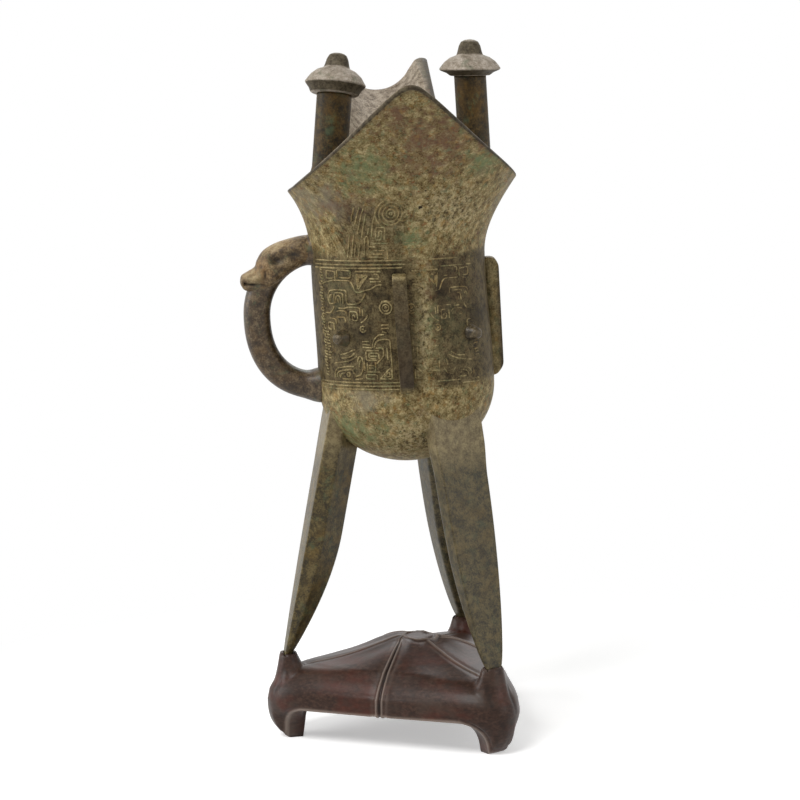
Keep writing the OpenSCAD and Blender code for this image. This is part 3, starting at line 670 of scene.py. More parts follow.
def cut_sockets(stand):
    """Cuts the three sockets for the leg tips into the stand."""
    size = Vector((LEG_TIP_W + 2 * SOCKET_GAP, LEG_TIP_D + 2 * SOCKET_GAP, CUTTER_H)) * MM
    work = bmesh.new()
    for turn in LEG_TURNS.values():
        place = Matrix.Translation(around(SOCKET_R, turn + LEG_TURN, TIP_Z + CUTTER_H / 2) * MM)
        turned = Matrix.Rotation(math.radians(turn + LEG_TURN), 4, "Z")
        bmesh.ops.create_cube(work, size=1.0, matrix=place @ turned @ Matrix.Diagonal(size).to_4x4())
    cutters = from_work("socket_cutters", work)
    cut = stand.modifiers.new("sockets", "BOOLEAN")
    cut.operation, cut.solver, cut.object = "DIFFERENCE", "EXACT", cutters
    thing = applied("carved_stand", stand)
    for old in (stand, cutters):
        bpy.data.objects.remove(old)
    return thing


# Raised lines of the decoration, drawn on the unrolled wall of the bowl
# a is measured in millimetres round the wall from the tail towards the handle, z is the height.

PITCH, THREAD_R = 1.05, 0.27


def coil(a, z, wide, high, turns, flip=1):
    """Squared coil that runs inwards."""
    x, y, line = wide / 2, high / 2, [(-wide / 2, -high / 2)]
    for k in range(turns):
        d = k * PITCH
        if x - d < 0.3 or y - d < 0.3:
            break
        line += [(d - x, y - d), (x - d, y - d), (x - d, d - y), (d + PITCH - x, d - y)]
    return [(a + flip * p[0], z + p[1]) for p in line]


def ring_line(a, z, r, start=0, end=360):
    turns = np.radians(np.linspace(start, end, max(6, int(abs(end - start) / 18))))
    return [(a + r * math.cos(k), z + r * math.sin(k)) for k in turns]


def nested(outline, count, gap=0.26):
    """A closed outline with smaller ones inside it."""
    middle = np.mean(outline, 0)
    closed = np.array(outline + outline[:1], float)
    return [middle + (closed - middle) * (1 - gap * k) for k in range(count)]


def mask_lines():
    """One half of the beast mask between the middle flange and the handle."""
    lines = [
        # Brow, horn and what lies above them
        coil(26.9, 155.1, 4.4, 2.4, 2), coil(21.0, 155.8, 5.6, 2.4, 2, -1),
        [(31.5, 151.8), (30, 152.4), (25.3, 153.5), (18.8, 153.8), (17.8, 153), (17, 151.3),
         (16.6, 150.2), (15, 150.2), (13.2, 150.9), (11, 151.4), (9.2, 152.6), (7.4, 152.8)],
        [(11.4, 154.7), (8.2, 154.7)], [(11.2, 153.7), (7.6, 153.9)],
        [(9.9, 156.2), (8.4, 156.2), (8.2, 155.2)], [(16.3, 156.9), (7.5, 157.0)],
        # The large coil of the ear and what hangs from it
        [(26.1, 145.8), (28.3, 145.7), (28.8, 147), (28.6, 148.7), (27.7, 149.9), (25.3, 150.4),
         (20.6, 150.6), (20.3, 150.2), (20.3, 146.5), (19.9, 146.1), (17.5, 146.2), (15.5, 146.7),
         (14.7, 147.4), (13.6, 148.7), (13.1, 150)],
        [(25.7, 145.9), (25.7, 148.6), (25.2, 149.5), (22, 149.6), (21.7, 149.3), (21.7, 146.1)],
        [(24.9, 146.2), (24.8, 148), (24.3, 148.6), (23.2, 148.6), (22.8, 148.2), (22.8, 146.5)],
        [(23.9, 147.6), (23.9, 146.4)], [(27.8, 146.4), (27.9, 148.2), (27.2, 148.9), (26.8, 148)],
        [(26, 145), (26.6, 143.9), (27.7, 142.8), (28.8, 142.5), (30.5, 142.5)],
        [(23.8, 144.6), (21.6, 144.6), (20, 145.1), (17.9, 145.3), (15.4, 145.2), (15.4, 142.6)],
        [(24.8, 143.4), (23.8, 143.8), (21, 143.8), (20.4, 142.8)], [(14.6, 144.8), (14.6, 142.6)],
        coil(18, 142.4, 2.9, 2.9, 2, -1), [(12.8, 143), (13.3, 142), (14.4, 140.9), (15.4, 140.4)],
        ring_line(14.9, 138.3, 1.0, -170, 130), ring_line(14.9, 138.3, 0.35),
        [(24.6, 141.6), (21.6, 141.8), (21.2, 140.2)], [(28.6, 140.9), (25.6, 140.9), (25.4, 139.4)],
        coil(28.2, 138.4, 3, 2.2, 1), [(7.8, 147.4), (6.2, 147.7), (4.9, 147.2)],
        [(8.6, 139.8), (6.1, 139.9)], [(8.6, 138.7), (6.1, 138.8)], [(8.4, 137.7), (7, 137.2)],
        # The curls under the eye
        [(24.7, 129.4), (21.8, 130.1), (19.9, 131), (18.3, 131.5)],
        [(24.2, 128.3), (21.8, 128.6), (20.1, 129.2), (18.8, 130.3)],
        [(27.5, 126.4), (25.3, 126.8), (23.1, 127.2), (21, 127.7), (19, 128.6), (17.9, 129.4)],
        [(27.9, 121.6), (28.1, 122.9), (27.3, 124.2), (26, 125), (23.8, 125.4), (21.8, 125.8), (19.2, 126)],
        [(26.8, 121.9), (26.8, 122.9), (26, 123.8), (24.2, 124.2), (21.8, 124.7), (20, 124.9), (19.4, 123.6)],
        [(25.3, 121.8), (25.2, 122.8), (24.4, 123.4), (23, 123.6)], ring_line(21.7, 123.2, 0.7),
        [(24.3, 121.6), (20.8, 121.7)], [(19.2, 121.8), (16.2, 122.2)],
        [(18.8, 122.8), (17, 123.3), (16.6, 123.9), (15.9, 125.2), (15.7, 126.8), (16, 128.8),
         (16.6, 129.7), (17.3, 129.2), (17.7, 127.7)], [(17.3, 126), (17, 127.7), (16.6, 128.2)],
        # The jaw beside the flange
        [(15.5, 134.3), (13.1, 134.4)], [(15.4, 133.4), (13, 133.3)], [(15.5, 132.5), (12.4, 132.4)],
        [(14.5, 128.4), (14.5, 131.4), (10, 131.6)], coil(11.8, 129.8, 3.4, 1.8, 1),
        [(13, 129.7), (11, 129.7)], [(14.4, 128.3), (11, 128.4)], [(15.3, 128), (15.3, 124.9)],
        [(14.3, 127.6), (14.3, 125)], [(13.8, 126.6), (12, 126.6)], [(13.8, 125.8), (12.2, 125.8)],
        [(11.5, 127.8), (11.6, 125)], [(14.4, 124.5), (10.1, 124.6)], coil(13, 123, 3.9, 1.4, 1),
        [(12, 132.4), (11.8, 134), (11, 135.5), (9.7, 136.6), (7.9, 136.8)],
        [(11.4, 132.5), (11, 134), (9.9, 134.9), (7.9, 135.3), (6.2, 135)],
        [(11, 132.3), (8.8, 132.5), (8.3, 131.6), (8.8, 129.4), (10.1, 128.3), (11, 127.3)],
        [(6.1, 135.2), (6.1, 122.4)], [(7.3, 132.4), (7.2, 128.6)],
    ]
    lines += nested([(10.1, 122.4), (6.2, 122.4), (6.5, 126.2)], 2, 0.5)
    lines += nested([(16.1, 155.8), (11.9, 155.8), (15.6, 151.0)], 3)
    lines += [ring_line(6.6, 145.4, r) for r in (0.4, 1.1, 2.0)]
    # Short bars and hooks beside the handle, where wear has broken the frets up
    chance = np.random.default_rng(11)
    for z in np.arange(122, 157, 0.95):
        a = 31.2 + 0.8 * chance.random()
        bar = [(a, z), (a + 1.1 + 1.2 * chance.random(), z + 0.1)]
        lines.append(bar + [(bar[1][0], z + 0.9)] if chance.random() < 0.4 else bar)
        if 127 < z < 137:
            lines.append([(a - 2.6 + chance.random(), z), (a - 0.6, z)])
    # The border lines above and below the mask sink a little towards the handle
    for z in (160.6, 159.3, 158.2, 121.2, 120.1, 119.0):
        lines.append([(a, z - 0.0012 * a * a) for a in np.arange(0.6, 38, 1.5)])
    return lines


def blade_lines():
    """One half of a pointed blade on the neck, with its coils, above the middle of the mask."""
    lines = [
        [(18.9, 161.6), (18.5, 166), (18.2, 168.8)], [(17.4, 161.6), (17, 165.5), (16.7, 169)],
        [(16.3, 161.6), (16, 165.6)], [(14.9, 161.6), (14.4, 166.4)],
        [(12.9, 162), (12.7, 168.2), (12.1, 168.8), (11.6, 168), (11.5, 164.4)],
        [(17.7, 173.4), (17.5, 175.5), (17, 178.4)], [(16.3, 172.6), (16, 175), (15.2, 178.4)],
        [(15.4, 169.4), (14.8, 173), (14.4, 176), (13.8, 178)], [(13.9, 168), (13.4, 172), (12.9, 176.2)],
        [(11.8, 169.4), (11.6, 171.5)], [(10.6, 168.6), (10.4, 173), (9.9, 175.5), (9.7, 178.4)],
        coil(7.7, 169.5, 2.9, 4.2, 2), [(10, 166.3), (5.2, 166.3)], [(11.5, 165.1), (9.1, 165.1)],
        [(10, 163.9), (6.2, 163.9)], [(10, 162.7), (7, 162.7)], [(11.4, 161.7), (6.4, 161.7)],
        [(5.2, 164), (5.1, 161.2)],
        # The border of the next blade, on the far side of the plain gap
        [(23.5, 168.7), (21.7, 166), (20.4, 163.9), (19.8, 162.4)],
        [(25.9, 167.8), (24.2, 165.4), (23.2, 163.2)], ring_line(4.6, 176.3, 5.1, -70, 70),
    ]
    lines += [ring_line(4.6, 176.3, r) for r in (0.5, 1.5, 2.7, 3.9)]
    return lines


def even(line, step_mm=0.6):
    """The line with its corners softened, in even steps."""
    line = smooth_outline(line, 5, 0.45) if len(line) > 2 else np.array(line, float)
    gone = np.concatenate([[0], np.cumsum(np.linalg.norm(np.diff(line, axis=0), axis=1))])
    marks = np.linspace(0, gone[-1], max(2, int(gone[-1] / step_mm) + 1))
    return np.stack([np.interp(marks, gone, line[:, k]) for k in (0, 1)], -1)


def on_wall(line, middle, way, sunk, chance):
    """Puts a line on the wall: a is measured from the angle `middle`, towards the handle side if way is 1."""
    q = middle - way * np.degrees(line[:, 0] / BOWL_R)
    z = line[:, 1]
    top = rim(q)[:, 2]
    v = np.where(z < NECK_Z, 1 + (z - ROUND_Z) / (NECK_Z - ROUND_Z), 2 + (z - NECK_Z) / (top - NECK_Z))
    worn = np.convolve(chance.standard_normal(len(q) + 8), np.ones(9) / 3, "valid")
    depth = sunk + 0.1 * worn * (sunk < 0)
    return body_point(q, v) + body_normal(q, v) * np.atleast_1d(depth)[:, None]


# Each half of a mask: the angle it is measured from, the way it runs, where it starts and how far its
# lines stand out
DECORATED = ((-90, 1, 0.0, 0.06), (-95, -1, 2.5, -0.23), (90, -1, 2.5, 0.0), (90, 1, 2.5, -0.12))


def make_decoration():
    """All raised lines, as threads along paths on the wall: crisp on the handle side, worn elsewhere."""
    chance = np.random.default_rng(7)
    paths = []
    for middle, way, start, sunk in DECORATED:
        for line in mask_lines() + blade_lines():
            line = np.array(line, float)
            # The far flange takes the place of the bars beside the handle
            if middle == -95 and line[:, 0].max() > 31.5:
                line = line[line[:, 0] < 31] if len(line) > 3 else line[:0]
            if len(line) > 1:
                paths.append(on_wall(even(line - [start, 0]), middle, way, sunk, chance))
    return threads("raised_decoration", paths, THREAD_R)


def threads(name, paths, radius, sides=6):
    """Geometry Nodes: a thread of this radius, in millimetres, along every path."""
    points, edges = [], []
    for path in paths:
        start = len(points)
        points += list(path)
        edges += [(k, k + 1) for k in range(start, len(points) - 1)]
    thing = mesh_object(name + "_paths", points, edges=edges)
    tree = bpy.data.node_groups.new(name, "GeometryNodeTree")
    for label, kind in (("Paths", "Geometry"), ("Thread Radius", "Float"), ("Sides", "Int"),
                        ("Thread Metal", "Material")):
        tree.interface.new_socket(name=label, in_out="INPUT", socket_type="NodeSocket" + kind)
    tree.interface.new_socket(name="Threads", in_out="OUTPUT", socket_type="NodeSocketGeometry")
    given = node(tree, "NodeGroupInput").outputs
    lines = node(tree, "GeometryNodeMeshToCurve", links={"Mesh": given["Paths"]})
    section = node(tree, "GeometryNodeCurvePrimitiveCircle",
                   links={"Resolution": given["Sides"], "Radius": given["Thread Radius"]})
    tubes = node(tree, "GeometryNodeCurveToMesh", {"Fill Caps": True},
                 {"Curve": lines.outputs[0], "Profile Curve": section.outputs["Curve"]})
    smooth = node(tree, "GeometryNodeSetShadeSmooth", links={"Geometry": tubes.outputs[0]})
    metal = node(tree, "GeometryNodeSetMaterial",
                 links={"Geometry": smooth.outputs[0], "Material": given["Thread Metal"]})
    real = node(tree, "GeometryNodeRealizeInstances", links={"Geometry": metal.outputs[0]})
    node(tree, "NodeGroupOutput", links={"Threads": real.outputs[0]})
    tubing = thing.modifiers.new("threads", "NODES")
    tubing.node_group = tree
    sockets = {item.name: item.identifier for item in tree.interface.items_tree}
    tubing[sockets["Thread Radius"]] = radius * MM
    tubing[sockets["Sides"]] = sides
    made = applied(name, thing)
    bpy.data.objects.remove(thing)
    turn_outwards(made)
    return made


# Colours and finishes

def colour(code):
    """Linear colour from an sRGB hex code."""
    parts = [int(code[i:i + 2], 16) / 255 for i in (1, 3, 5)]
    return tuple(c / 12.92 if c <= 0.04045 else ((c + 0.055) / 1.055) ** 2.4 for c in parts) + (1.0,)


def node(tree, kind, values=(), links=(), **settings):
    """Adds a node: settings are its own properties, values and links go to its inputs by name or number."""
    made = tree.nodes.new(kind)
    for key, value in settings.items():
        setattr(made, key, value)
    for key, value in dict(values).items():
        made.inputs[key].default_value = value
    for key, source in dict(links).items():
        tree.links.new(source, made.inputs[key])
    return made


def ramp(tree, source, stops):
    """Colour Ramp node through (place, sRGB code) stops."""
    made = node(tree, "ShaderNodeValToRGB", links={"Fac": source})
    marks = made.color_ramp.elements
    while len(marks) < len(stops):
        marks.new(0.5)
    for mark, (place, code) in zip(marks, stops):
        mark.position, mark.color = place, colour(code)
    return made.outputs["Color"]


def new_material(name):
    material = bpy.data.materials.new(name)
    material.use_nodes = True
    material.node_tree.nodes.clear()
    return material, material.node_tree


def noise(tree, place, size, **values):
    """Noise whose features are about `size` mm wide."""
    given = {"Scale": 1 / (size * MM), "Detail": 3.0, "Roughness": 0.62, **values}
    return node(tree, "ShaderNodeTexNoise", given, {"Vector": place}).outputs["Fac"]


def spread(tree, source, low, high, out_low=0.0, out_high=1.0):
    values = {"From Min": low, "From Max": high, "To Min": out_low, "To Max": out_high}
    return node(tree, "ShaderNodeMapRange", values, {"Value": source}).outputs[0]


def sum_of(tree, operation, a, b, c=0.0):
    """Math node whose inputs are numbers or sockets."""
    made = node(tree, "ShaderNodeMath", operation=operation)
    for k, given in enumerate((a, b, c)):
        if isinstance(given, bpy.types.NodeSocket):
            tree.links.new(given, made.inputs[k])
        else:
            made.inputs[k].default_value = given
    return made.outputs[0]


def over(tree, under, code, share):
    """Lays a colour, or the colour from another socket, over `under`."""
    made = node(tree, "ShaderNodeMix", links={"Factor": share, "A": under}, data_type="RGBA")
    if isinstance(code, str):
        made.inputs["B"].default_value = colour(code)
    else:
        tree.links.new(code, made.inputs["B"])
    return made.outputs["Result"]


def seen(tree):
    """1 for the camera's, glossy and transmission rays, which find everything around plain white."""
    rays = node(tree, "ShaderNodeLightPath").outputs
    direct = sum_of(tree, "MAXIMUM", rays["Is Camera Ray"], rays["Is Glossy Ray"])
    return sum_of(tree, "MAXIMUM", direct, rays["Is Transmission Ray"])


def held(tree, attribute):
    return node(tree, "ShaderNodeAttribute", attribute_name=attribute).outputs["Fac"]


GRAIN, STAIN_RAISE = 0.55, 0.27


def patina(name, speckle, patches, rough=0.55, shine=0.12, marks=(), pits=()):
    """Cast bronze under centuries of patina. Oxide specks of about GRAIN mm in the colours of `speckle`
    break up the surface, and larger stains lie over them: each of `patches` is (colour, size in mm, low
    threshold, high threshold, strength, attribute that raises it by STAIN_RAISE). `marks` are (attribute,
    dark and light colour, strength) for places with a finish of their own, such as hollows that keep dirt;
    some marks are painted shade, painted shadow and painted highlight instead.
    `pits` are (x, y, z, radius) in mm of casting flaws."""
    material, tree = new_material(name)
    place = node(tree, "ShaderNodeTexCoord").outputs["Object"]
    specks = noise(tree, place, GRAIN)
    clouds = noise(tree, place, 4.5 * GRAIN, Detail=5.0, Roughness=0.7)
    both = sum_of(tree, "MULTIPLY_ADD", specks, 0.4, sum_of(tree, "MULTIPLY", clouds, 0.6))
    now = ramp(tree, both, speckle)
    for k, (code, size, low, high, strength, *where) in enumerate(patches):
        moved = {"Location": (0.13 * k, 0.07 * k, 0.19 * k)}
        spot = node(tree, "ShaderNodeMapping", moved, {"Vector": place}).outputs[0]
        stain = noise(tree, spot, size, Detail=6.0, Roughness=0.68, Distortion=0.3)
        if where:
            stain = sum_of(tree, "MULTIPLY_ADD", held(tree, where[0]), STAIN_RAISE, stain)
        now = over(tree, now, code, spread(tree, stain, low, high, 0.0, strength))
    for attribute, dark, light, strength in marks:
        own = ramp(tree, both, ((0.4, dark), (0.58, light)))
        now = over(tree, now, own, sum_of(tree, "MULTIPLY", held(tree, attribute), strength))
    for x, y, z, r in pits:
        away = node(tree, "ShaderNodeVectorMath", {1: (x * MM, y * MM, z * MM)}, {0: place},
                    operation="DISTANCE").outputs["Value"]
        ragged = sum_of(tree, "MULTIPLY_ADD", sum_of(tree, "SUBTRACT", specks, 0.5), 2 * r * MM, away)
        now = over(tree, now, "#1d150d", spread(tree, ragged, r * MM, 0.55 * r * MM))
    uneven = node(tree, "ShaderNodeBump", {"Strength": 0.3, "Distance": 0.0005}, {"Height": both})
    shader = node(tree, "ShaderNodeBsdfPrincipled", {"Metallic": 0.1, "Specular IOR Level": shine}, {
        "Base Color": now, "Roughness": spread(tree, specks, 0.35, 0.65, rough - 0.1, rough + 0.12),
        "Normal": uneven.outputs["Normal"]})
    node(tree, "ShaderNodeOutputMaterial", links={"Surface": shader.outputs["BSDF"]})
    return material


def body_bronze():
    """Olive, yellow-brown and green patina: the pale specks are earthy crust, the green ones copper salts,
    the purple-brown stains cuprite. The inside is pale grey with pits, and the rim's edge is dark. The grey
    stain is made likelier at the bowl's edges and corners, partly as painted sheen, and the dark spots
    beside the eye bosses are painted shadow."""
    return patina(
        "mottled_patina_bronze",
        ((0.38, "#41341c"), (0.44, "#5f5030"), (0.5, "#7c6c48"), (0.55, "#8f8059"), (0.62, "#ae9f76")),
        (("#65734f", 3.5, 0.6, 0.8, 0.75, "verdigris"), ("#644a39", 4, 0.58, 0.8, 0.85, "cuprite"),
         ("#96713a", 3, 0.55, 0.68, 0.55), ("#5d7054", 2.0, 0.56, 0.66, 0.5),
         # The next stain, made likelier at the bowl's edges and corners, is partly painted sheen
         ("#7d7768", 7, 0.6, 0.8, 0.5, "grey_stain_and_edge_sheen"),
         ("#80462a", 1.6, 0.59, 0.67, 0.6), ("#b9aa82", 1.5, 0.68, 0.84, 0.6, "crust"),
         ("#2a2014", 1.3, 0.76, 0.86, 0.75, "crust"), ("#3a2d1e", 3.0, 0.58, 0.68, 0.5)),
        marks=(("band", "#221b10", "#5a4e36", 0.85), ("inside", "#5f5140", "#b6a997", 0.92),
               # The last mark is painted shadow beside the eye bosses, with dark spots in a few other places
               ("rim_edge", "#231e17", "#4a4236", 0.9), ("shadow_and_grime", "#15100a", "#2a2317", 0.75)),
        pits=BODY_PITS,
    )


def plain_bronze(name, deep, dark, mid, light, stain, fleck, **more):
    """Bronze with a closer, darker patina than the bowl's."""
    return patina(
        name, ((0.38, deep), (0.46, dark), (0.52, mid), (0.6, light)),
        ((stain, 8, 0.5, 0.66, 0.45), (fleck, 2.2, 0.55, 0.68, 0.5), ("#4d5c42", 5, 0.54, 0.68, 0.5),
         ("#1f180e", 1.4, 0.6, 0.7, 0.6)), **more)


def carved_hardwood():
    """Dark red-brown hardwood, rubbed by hand to a soft polish: close grain along the curves, redder where
    the stain wore thin, pale dusty wax with painted highlights on the raised lines and the lower edge, and
    painted shade in the grooves and folds."""
    material, tree = new_material("polished_dark_hardwood")
    place = node(tree, "ShaderNodeTexCoord").outputs["Object"]
    along = node(tree, "ShaderNodeMapping", {"Scale": (1.0, 1.0, 1.8)}, {"Vector": place}).outputs[0]
    grain = noise(tree, along, 1.6, Detail=4.0)
    now = ramp(tree, grain, ((0.36, "#2a1c16"), (0.5, "#35241c"), (0.64, "#433027")))
    for code, size, low, high, strength in (("#4f2519", 14, 0.48, 0.66, 0.6), ("#221713", 9, 0.5, 0.68, 0.6),
                                            ("#54463c", 18, 0.52, 0.7, 0.4)):
        now = over(tree, now, code, spread(tree, noise(tree, along, size), low, high, 0.0, strength))
    # Pale wax with painted highlight on the raised lines, and painted shade in the grooves and folds
    for attribute, code, strength in (("worn", "#9a8b80", 0.62), ("dark", "#120b08", 0.85)):
        share = sum_of(tree, "MULTIPLY", held(tree, attribute), strength)
        now = over(tree, now, code, share)
    uneven = node(tree, "ShaderNodeBump", {"Strength": 0.2, "Distance": 0.0003}, {"Height": grain})
    shader = node(tree, "ShaderNodeBsdfPrincipled",
                  {"Roughness": 0.36, "IOR": 1.45, "Specular IOR Level": 0.22},
                  {"Base Color": now, "Normal": uneven.outputs["Normal"]})
    node(tree, "ShaderNodeOutputMaterial", links={"Surface": shader.outputs["BSDF"]})
    return material


# Building

body_metal = body_bronze()
thread_metal = plain_bronze(
    "raised_line_bronze", "#4f4329", "#6f6144", "#897a55", "#a3946c", "#84683a", "#5f6c48")
# The legs' first mark is painted shade with an olive tint on the legs that face away from the light
leg_metal = plain_bronze(
    "leg_bronze", "#292213", "#3d341f", "#524629", "#6b5d3a", "#745b27", "#272214", rough=0.42, shine=0.3,
    marks=(("olive_tint_and_shade", "#25231a", "#544c37", 0.6), ("root", "#5a4c32", "#8c7e5c", 0.75)))
handle_metal = plain_bronze(
    "handle_bronze", "#281f15", "#3a2e20", "#4e402e", "#6a5b45", "#5f4625", "#2f251b", rough=0.42, shine=0.4)
# Head marks: the first is painted highlight on the top of the head and on the tan-stained nose, the second
# painted shade in the sunken carvings
head_metal = plain_bronze(
    "beast_head_bronze", "#33281a", "#51402a", "#6c593c", "#8f7c5c", "#7d592a", "#3a2f1f", shine=0.4,
    marks=(("worn", "#85683f", "#b9a681", 0.7), ("dark", "#110c08", "#241c13", 0.95)))
post_metal = plain_bronze(
    "post_bronze", "#171107", "#2a200d", "#3b2f18", "#524124", "#6b4e1d", "#1a140a", shine=0.25)
# The caps' dark mark is painted shade on the hollow edge and on the sides of the finial
cap_metal = plain_bronze(
    "crusted_cap_bronze", "#756a5a", "#8f8475", "#a19688", "#b8ad9f", "#908474", "#6f6452",
    marks=(("dark", "#2a2317", "#564d3b", 0.95),))
flange_metal = plain_bronze(
    "smooth_flange_bronze", "#453b22", "#62563a", "#7c6e4d", "#958660", "#86672f", "#4c4432", rough=0.45,
    marks=(("dark", "#2a2219", "#3f352a", 0.95),))
boss_metal = plain_bronze(
    "eye_boss_bronze", "#241d12", "#372e1e", "#4b402c", "#6c5f47", "#54421f", "#231c12",
    rough=0.4, shine=0.35)
hardwood = carved_hardwood()


def places(x, z, *spots):
    """How much each point lies in one of these (x, z, half width, half height) places."""
    return np.max([bump(x, cx, wide) * bump(z, cz, tall) for cx, cz, wide, tall in spots], axis=0)


def paint_body(body):
    """Where the finishes of the bowl lie, by attributes that body_bronze reads."""
    spots = np.zeros(len(body.data.vertices) * 3)
    body.data.vertices.foreach_get("co", spots)
    x, y, z = spots.reshape(-1, 3).T / MM
    # The decorated band is dark but for the seam beside the flange, and so is the ground of one blade
    seam = bump(x, 5.0, 3.0) * (y < 0)
    band = step(117.5, 120, z) * step(162.5, 160, z) * (1 - 0.8 * seam)
    blade = 0.65 * step(1, -3, x) * step(-24, -20, x) * step(160, 162, z) * step(182, 177, z)
    tone(body, "band", np.maximum(band, blade))
    # Painted shadow to the right of the two front eye bosses, and dark spots at the top of the flange and in
    # a few hollows
    tone(body, "shadow_and_grime", places(
        x, z, (-15.5, 137, 4.2, 3.6), (22.5, 140, 3.4, 3.2), (-4.5, 157, 2.5, 3.5), (10, 151, 2.5, 6),
        (7, 104, 3, 2), (-9, 149, 3, 2)))
    # Grey stain made likelier at the bowl's side edges and the corners of the mouth: partly stain, partly
    # painted sheen where the surface turns away
    tone(body, "grey_stain_and_edge_sheen", places(
        x, z, (-27, 180, 12, 8), (34, 178, 6, 12), (-28, 150, 3, 12), (28, 140, 2.5, 20), (-14, 114, 9, 5)))
    tone(body, "cuprite", places(
        x, z, (8, 200, 15, 13), (-4, 208, 8, 6), (26, 198, 6, 5), (-20, 178, 9, 6), (14, 150, 9, 12)))
    tone(body, "verdigris", places(
        x, z, (-14, 191, 10, 9), (14, 208, 5, 6), (25, 191, 7, 7), (1, 168, 5, 5), (12, 140, 9, 13),
        (-20, 104, 14, 6), (-22, 150, 5, 8)))
    tone(body, "crust", np.maximum(places(x, z, (14, 176, 16, 13), (4, 102, 24, 10), (4, 140, 4, 26)), 0.3))


body = make_body()
paint_body(body)
pieces = [(body, body_metal, "vessel_body", "bronze_body", "vessel"),
          (make_decoration(), thread_metal, None, "bronze_body", "vessel")]
for name, turn in LEG_TURNS.items():
    leg = make_leg(name, turn)
    # Painted shade with an olive tint on the tail-side and spout-side legs, whose faces turn away from the
    # light
    tone(leg, "olive_tint_and_shade", np.full(len(leg.data.vertices), float(name != "handle_side")))
    pieces.append((leg, leg_metal, "leg_" + name, "bronze_leg", "vessel"))
pieces.append((make_strap(), handle_metal, "handle_loop", "bronze_handle", "vessel"))
pieces.append((make_head(), head_metal, "beast_head", "bronze_handle", "vessel"))
for name, sizes in POSTS.items():
    pieces.append((make_post(name, **sizes), post_metal, "post_" + name, "bronze_post", "vessel"))
    pieces.append((make_cap(name, **sizes), cap_metal, "cap_" + name, "bronze_cap", "vessel"))
for name, turn, skew in (("tail", -FLANGE_OFF, FLANGE_SKEW), ("spout", 180.0, 0.0), ("far_side", 90.0, 0.0)):
    flange = make_flange(name, turn, skew)
    pieces.append((flange, flange_metal, "flange_" + name, "bronze_flange", "vessel"))
pieces.append((make_bosses(), boss_metal, "eye_bosses", "bronze_flange", "vessel"))
pieces.append((make_stand(), hardwood, "wooden_stand", "hardwood", "stand"))
for thing, material, stands_for, slot, ridden in pieces:
    thing.data.materials.clear()
    thing.data.materials.append(material)
    thing.data.polygons.foreach_set("use_smooth", [True] * len(thing.data.polygons))
    if stands_for:
        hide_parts(stands_for)
    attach(thing, ridden)


# Floor, light and camera

WORLD_LIGHT, FLOOR_GLOW = 0.23, 0.42
LOOK_AT, FLOOR_HALF = Vector((0, 0, 0.12)), 4000
# The camera's angles in degrees, its shift and distance in metres, and its lens and sensor in millimetres
CAMERA_TURN, CAMERA_RISE, CAMERA_ROLL = -3.71, 10.46, -1.78
CAMERA_RIGHT, CAMERA_UP, CAMERA_AWAY = -0.0023, -0.00954, 1.35
LENS, SENSOR = 186.5, 36.0


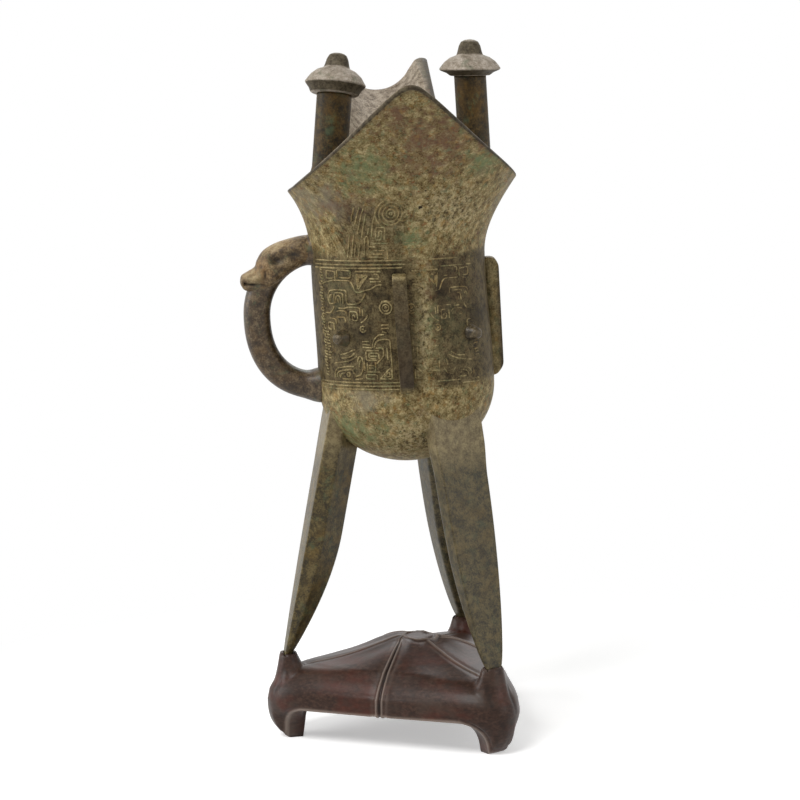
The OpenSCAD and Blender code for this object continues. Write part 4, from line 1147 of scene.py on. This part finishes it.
def make_floor():
    """White paper: near the object it takes the shadow, and further out the camera sees plain white."""
    corners = [[x * FLOOR_HALF, y * FLOOR_HALF, 0] for x, y in ((-1, -1), (1, -1), (1, 1), (-1, 1))]
    floor = mesh_object("pale_floor", corners, [(0, 1, 2, 3)])
    material, tree = new_material("white_paper_floor")
    place = node(tree, "ShaderNodeTexCoord").outputs["Object"]
    away = node(tree, "ShaderNodeVectorMath", links={0: place}, operation="LENGTH").outputs["Value"]
    far = node(tree, "ShaderNodeMapRange", {"From Min": 0.09, "From Max": 0.2}, {"Value": away},
               interpolation_type="SMOOTHSTEP")
    paper = node(tree, "ShaderNodeBsdfPrincipled", {"Base Color": colour("#f4f4f3"), "Roughness": 0.9})
    lifted = node(tree, "ShaderNodeAddShader", links={
        0: paper.outputs["BSDF"], 1: node(tree, "ShaderNodeEmission", {"Strength": FLOOR_GLOW}).outputs[0]})
    plain = node(tree, "ShaderNodeEmission", {"Strength": 1.0})
    near = node(tree, "ShaderNodeMixShader",
                links={0: far.outputs[0], 1: lifted.outputs[0], 2: plain.outputs[0]})
    shown = node(tree, "ShaderNodeMixShader",
                 links={0: seen(tree), 1: paper.outputs["BSDF"], 2: near.outputs[0]})
    node(tree, "ShaderNodeOutputMaterial", links={"Surface": shown.outputs[0]})
    floor.data.materials.append(material)


def make_light():
    world = bpy.data.worlds.new("studio")
    bpy.context.scene.world = world
    world.use_nodes = True
    tree = world.node_tree
    tree.nodes.clear()
    strength = spread(tree, seen(tree), 0.0, 1.0, WORLD_LIGHT, 1.0)
    white = node(tree, "ShaderNodeBackground", {"Color": (1, 1, 1, 1)}, {"Strength": strength})
    node(tree, "ShaderNodeOutputWorld", links={"Surface": white.outputs[0]})
    for name, place, size, power in (
        ("key_softbox", (-0.75, -0.9, 1.5), 0.8, 21.0),
        ("side_softbox", (-1.5, 0.15, 0.5), 0.8, 10.0),
        ("fill_softbox", (1.2, -0.7, 0.6), 0.8, 4.5),
        ("back_softbox", (0.3, 1.2, 1.0), 0.9, 5.0),
    ):
        lamp = bpy.data.lights.new(name, "AREA")
        lamp.size, lamp.energy = size, power
        thing = linked(name, lamp)
        thing.location = place
        thing.rotation_euler = (LOOK_AT - Vector(place)).to_track_quat("-Z", "Y").to_euler()


def make_camera():
    """Camera at the photograph's place, with its slight roll."""
    turn, rise, roll = (math.radians(a) for a in (CAMERA_TURN, CAMERA_RISE, CAMERA_ROLL))
    back = Vector((math.sin(turn) * math.cos(rise), -math.cos(turn) * math.cos(rise), math.sin(rise)))
    right = Vector((math.cos(turn), math.sin(turn), 0))
    up = back.cross(right)
    place = LOOK_AT + right * CAMERA_RIGHT + up * CAMERA_UP + back * CAMERA_AWAY
    across = right * math.cos(roll) + up * math.sin(roll)
    upward = up * math.cos(roll) - right * math.sin(roll)
    camera = bpy.data.cameras.new("camera")
    camera.lens, camera.sensor_width, camera.clip_start = LENS, SENSOR, 0.05
    thing = linked("camera", camera)
    turned = Matrix((across, upward, back)).transposed().to_4x4()
    turned.translation = place
    thing.matrix_world = turned
    bpy.context.scene.camera = thing


make_floor()
make_light()
make_camera()
bpy.context.scene.view_settings.view_transform = "Standard"
